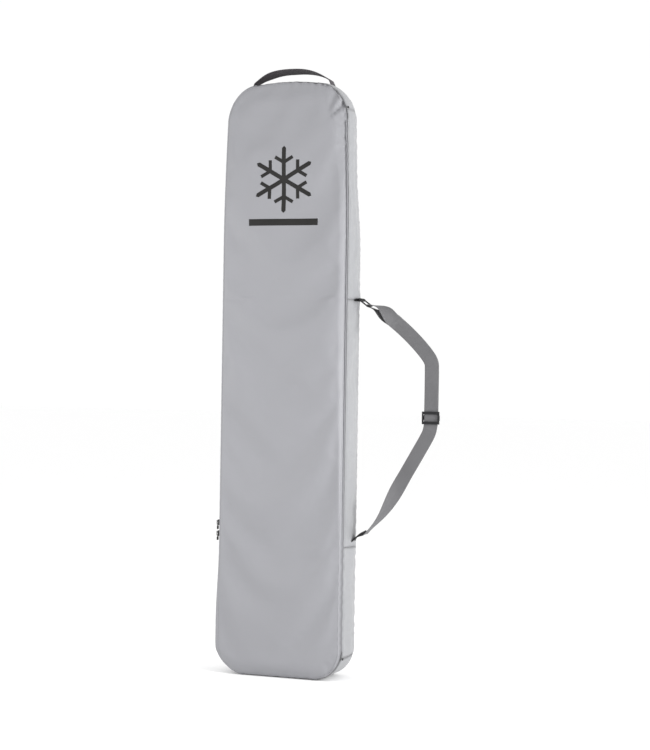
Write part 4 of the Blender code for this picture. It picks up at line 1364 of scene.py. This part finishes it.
def rib_webbing(name, light, dark, ribs):
    """Woven webbing: lengthwise ribs crossed by a fine slanting weave, with painted shade in the furrows
    between the ribs.
    """
    n = Nodes(name)
    uv, place = n.uv(), n.place()
    ribbed = n.wave(uv, ribs, "X")
    slant = n.add("ShaderNodeMapping")
    slant.inputs["Rotation"].default_value = (0.0, 0.0, math.radians(28.0))
    n.link(uv, slant.inputs["Vector"])
    cross = n.wave(slant.outputs["Vector"], 0.0011, "Y")
    fuzz = n.noise(place, 420.0, 3.0)
    cloud = n.noise(place, 14.0, 2.0)
    tone = n.mix(cloud, dark, light)
    # painted shade: the base colour is darkened in the furrows between the ribs
    furrow_shade = n.math("MULTIPLY", n.math("SUBTRACT", 1.0, ribbed), 0.35)
    tone = n.mix(furrow_shade, tone, tuple(0.55 * v for v in dark))
    tone = n.mix(n.math("MULTIPLY", cross, 0.22), tone, tuple(0.70 * v for v in dark))
    n.link(tone, n.shader.inputs["Base Color"])
    n.link(n.ramp(fuzz, 0.66, 0.86), n.shader.inputs["Roughness"])
    n.set(Specular_IOR_Level=0.22, Sheen_Weight=0.06, Sheen_Roughness=0.5)
    n.bumps(((ribbed, 0.0006, 0.6), (cross, 0.0003, 0.5), (fuzz, 0.0002, 0.4)))
    return n.material


@once
def grey_webbing():
    return rib_webbing("grey_webbing", (0.164, 0.163, 0.169), (0.128, 0.127, 0.133), 0.0032)


@once
def dark_webbing():
    return rib_webbing("dark_webbing", (0.080, 0.072, 0.080), (0.054, 0.048, 0.054), 0.0032)


@once
def black_webbing():
    return rib_webbing("black_webbing", (0.009, 0.009, 0.010), (0.005, 0.005, 0.006), 0.0024)


def moulded(name, colour, roughness, grain):
    """Moulded plastic with a fine spark-eroded grain and slightly polished high spots."""
    n = Nodes(name)
    place = n.place()
    fine, soft = n.noise(place, grain, 3.0), n.noise(place, 30.0, 2.0)
    n.link(n.mix(soft, colour, tuple(1.5 * v for v in colour)), n.shader.inputs["Base Color"])
    n.link(n.ramp(fine, roughness - 0.08, roughness + 0.12), n.shader.inputs["Roughness"])
    n.set(Specular_IOR_Level=0.35)
    n.bumps(((fine, 0.0001, 0.4),))
    return n.material


@once
def black_acetal():
    return moulded("black_acetal", (0.006, 0.006, 0.007), 0.36, 900.0)


@once
def zipper_coil():
    return moulded("zipper_coil", (0.016, 0.016, 0.018), 0.45, 1500.0)


@once
def zipper_tape():
    return rib_webbing("zipper_tape", (0.030, 0.030, 0.033), (0.018, 0.018, 0.020), 0.0016)


@once
def print_film():
    n = Nodes("print_film")
    place = n.place()
    cloud = n.noise(place, 40.0, 4.0)
    n.link(n.mix(cloud, (0.012, 0.0115, 0.011), (0.020, 0.019, 0.018)), n.shader.inputs["Base Color"])
    n.link(n.ramp(cloud, 0.50, 0.66), n.shader.inputs["Roughness"])
    n.set(Specular_IOR_Level=0.20)
    n.bumps(((n.noise(place, 700.0, 2.0), 0.0001, 0.3),))
    return n.material


@once
def sewing_thread():
    return rib_webbing("sewing_thread", (0.250, 0.252, 0.268), (0.200, 0.202, 0.214), 0.0007)


def stage_paint(name, value):
    n = Nodes(name)
    n.link(n.ramp(n.noise(n.place(), 2.0, 2.0), value - 0.01, value + 0.01), n.shader.inputs["Roughness"])
    n.set(Base_Color=(value, value, value, 1.0))
    return n.material


# Camera, light and stage

VIEW_AZIMUTH = 20.0
VIEW_DISTANCE = 4.70
VIEW_ROLL = 0.90
EYE_HEIGHT = 0.8235
VIEW_RIGHT = 0.0966
LENS = 82.1


def build_camera():
    data = bpy.data.cameras.new("camera")
    data.lens = LENS
    data.clip_end = 60.0
    camera = bpy.data.objects.new("camera", data)
    bpy.context.scene.collection.objects.link(camera)
    a = math.radians(VIEW_AZIMUTH)
    right = Vector((math.cos(a), math.sin(a), 0.0))
    back = Vector((math.sin(a), -math.cos(a), 0.0))
    camera.location = right * VIEW_RIGHT + back * VIEW_DISTANCE + Vector((0.0, 0.0, EYE_HEIGHT))
    level = Matrix((right, Vector((0.0, 0.0, 1.0)), back)).transposed().to_4x4()
    turned = level @ Matrix.Rotation(math.radians(VIEW_ROLL), 4, "Z")
    camera.rotation_euler = turned.to_euler()
    bpy.context.scene.camera = camera


def area_light(name, place, target, size, power):
    data = bpy.data.lights.new(name, "AREA")
    data.shape = "RECTANGLE"
    data.size, data.size_y = size
    data.energy = power
    light = bpy.data.objects.new(name, data)
    bpy.context.scene.collection.objects.link(light)
    light.location = place
    light.rotation_euler = (Vector(target) - Vector(place)).to_track_quat("-Z", "Y").to_euler()


def build_lights():
    world = bpy.data.worlds.new("studio")
    world.use_nodes = True
    world.node_tree.nodes["Background"].inputs["Color"].default_value = (1.0, 1.0, 1.0, 1.0)
    world.node_tree.nodes["Background"].inputs["Strength"].default_value = 1.01
    bpy.context.scene.world = world
    area_light("side_softbox", (2.95, -0.80, 1.1), (0.18, 0.0, 0.85), (1.1, 2.2), 88.0)
    area_light("left_softbox", (-1.65, -1.35, 1.02), (0.0, 0.0, 0.92), (0.7, 0.9), 18.0)
    bpy.context.scene.view_settings.view_transform = "Standard"


def build_stage():
    """A pale floor that runs far out on every side."""
    size = 30.0
    points = np.array([[(x, y, -0.0004) for x in (-size, size)] for y in (-size, size)])
    mesh = grid_mesh("floor", points, points[:, :, :2])
    mesh.materials.append(stage_paint("floor_paint", 0.985))
    floor = bpy.data.objects.new("floor", mesh)
    bpy.context.scene.collection.objects.link(floor)


build_camera()
build_lights()
build_stage()
front_panel = build_front_panel()
walls = build_walls()
back_panel = build_back_panel()
build_zipper()
build_bindings()
build_hinge_seam()
build_strap()
build_tabs()
build_handle()
build_side_loop()
build_ring()
build_links()
finish_hardware()
build_print(surface_tree(front_panel))
build_stitching(front_panel, back_panel, walls)
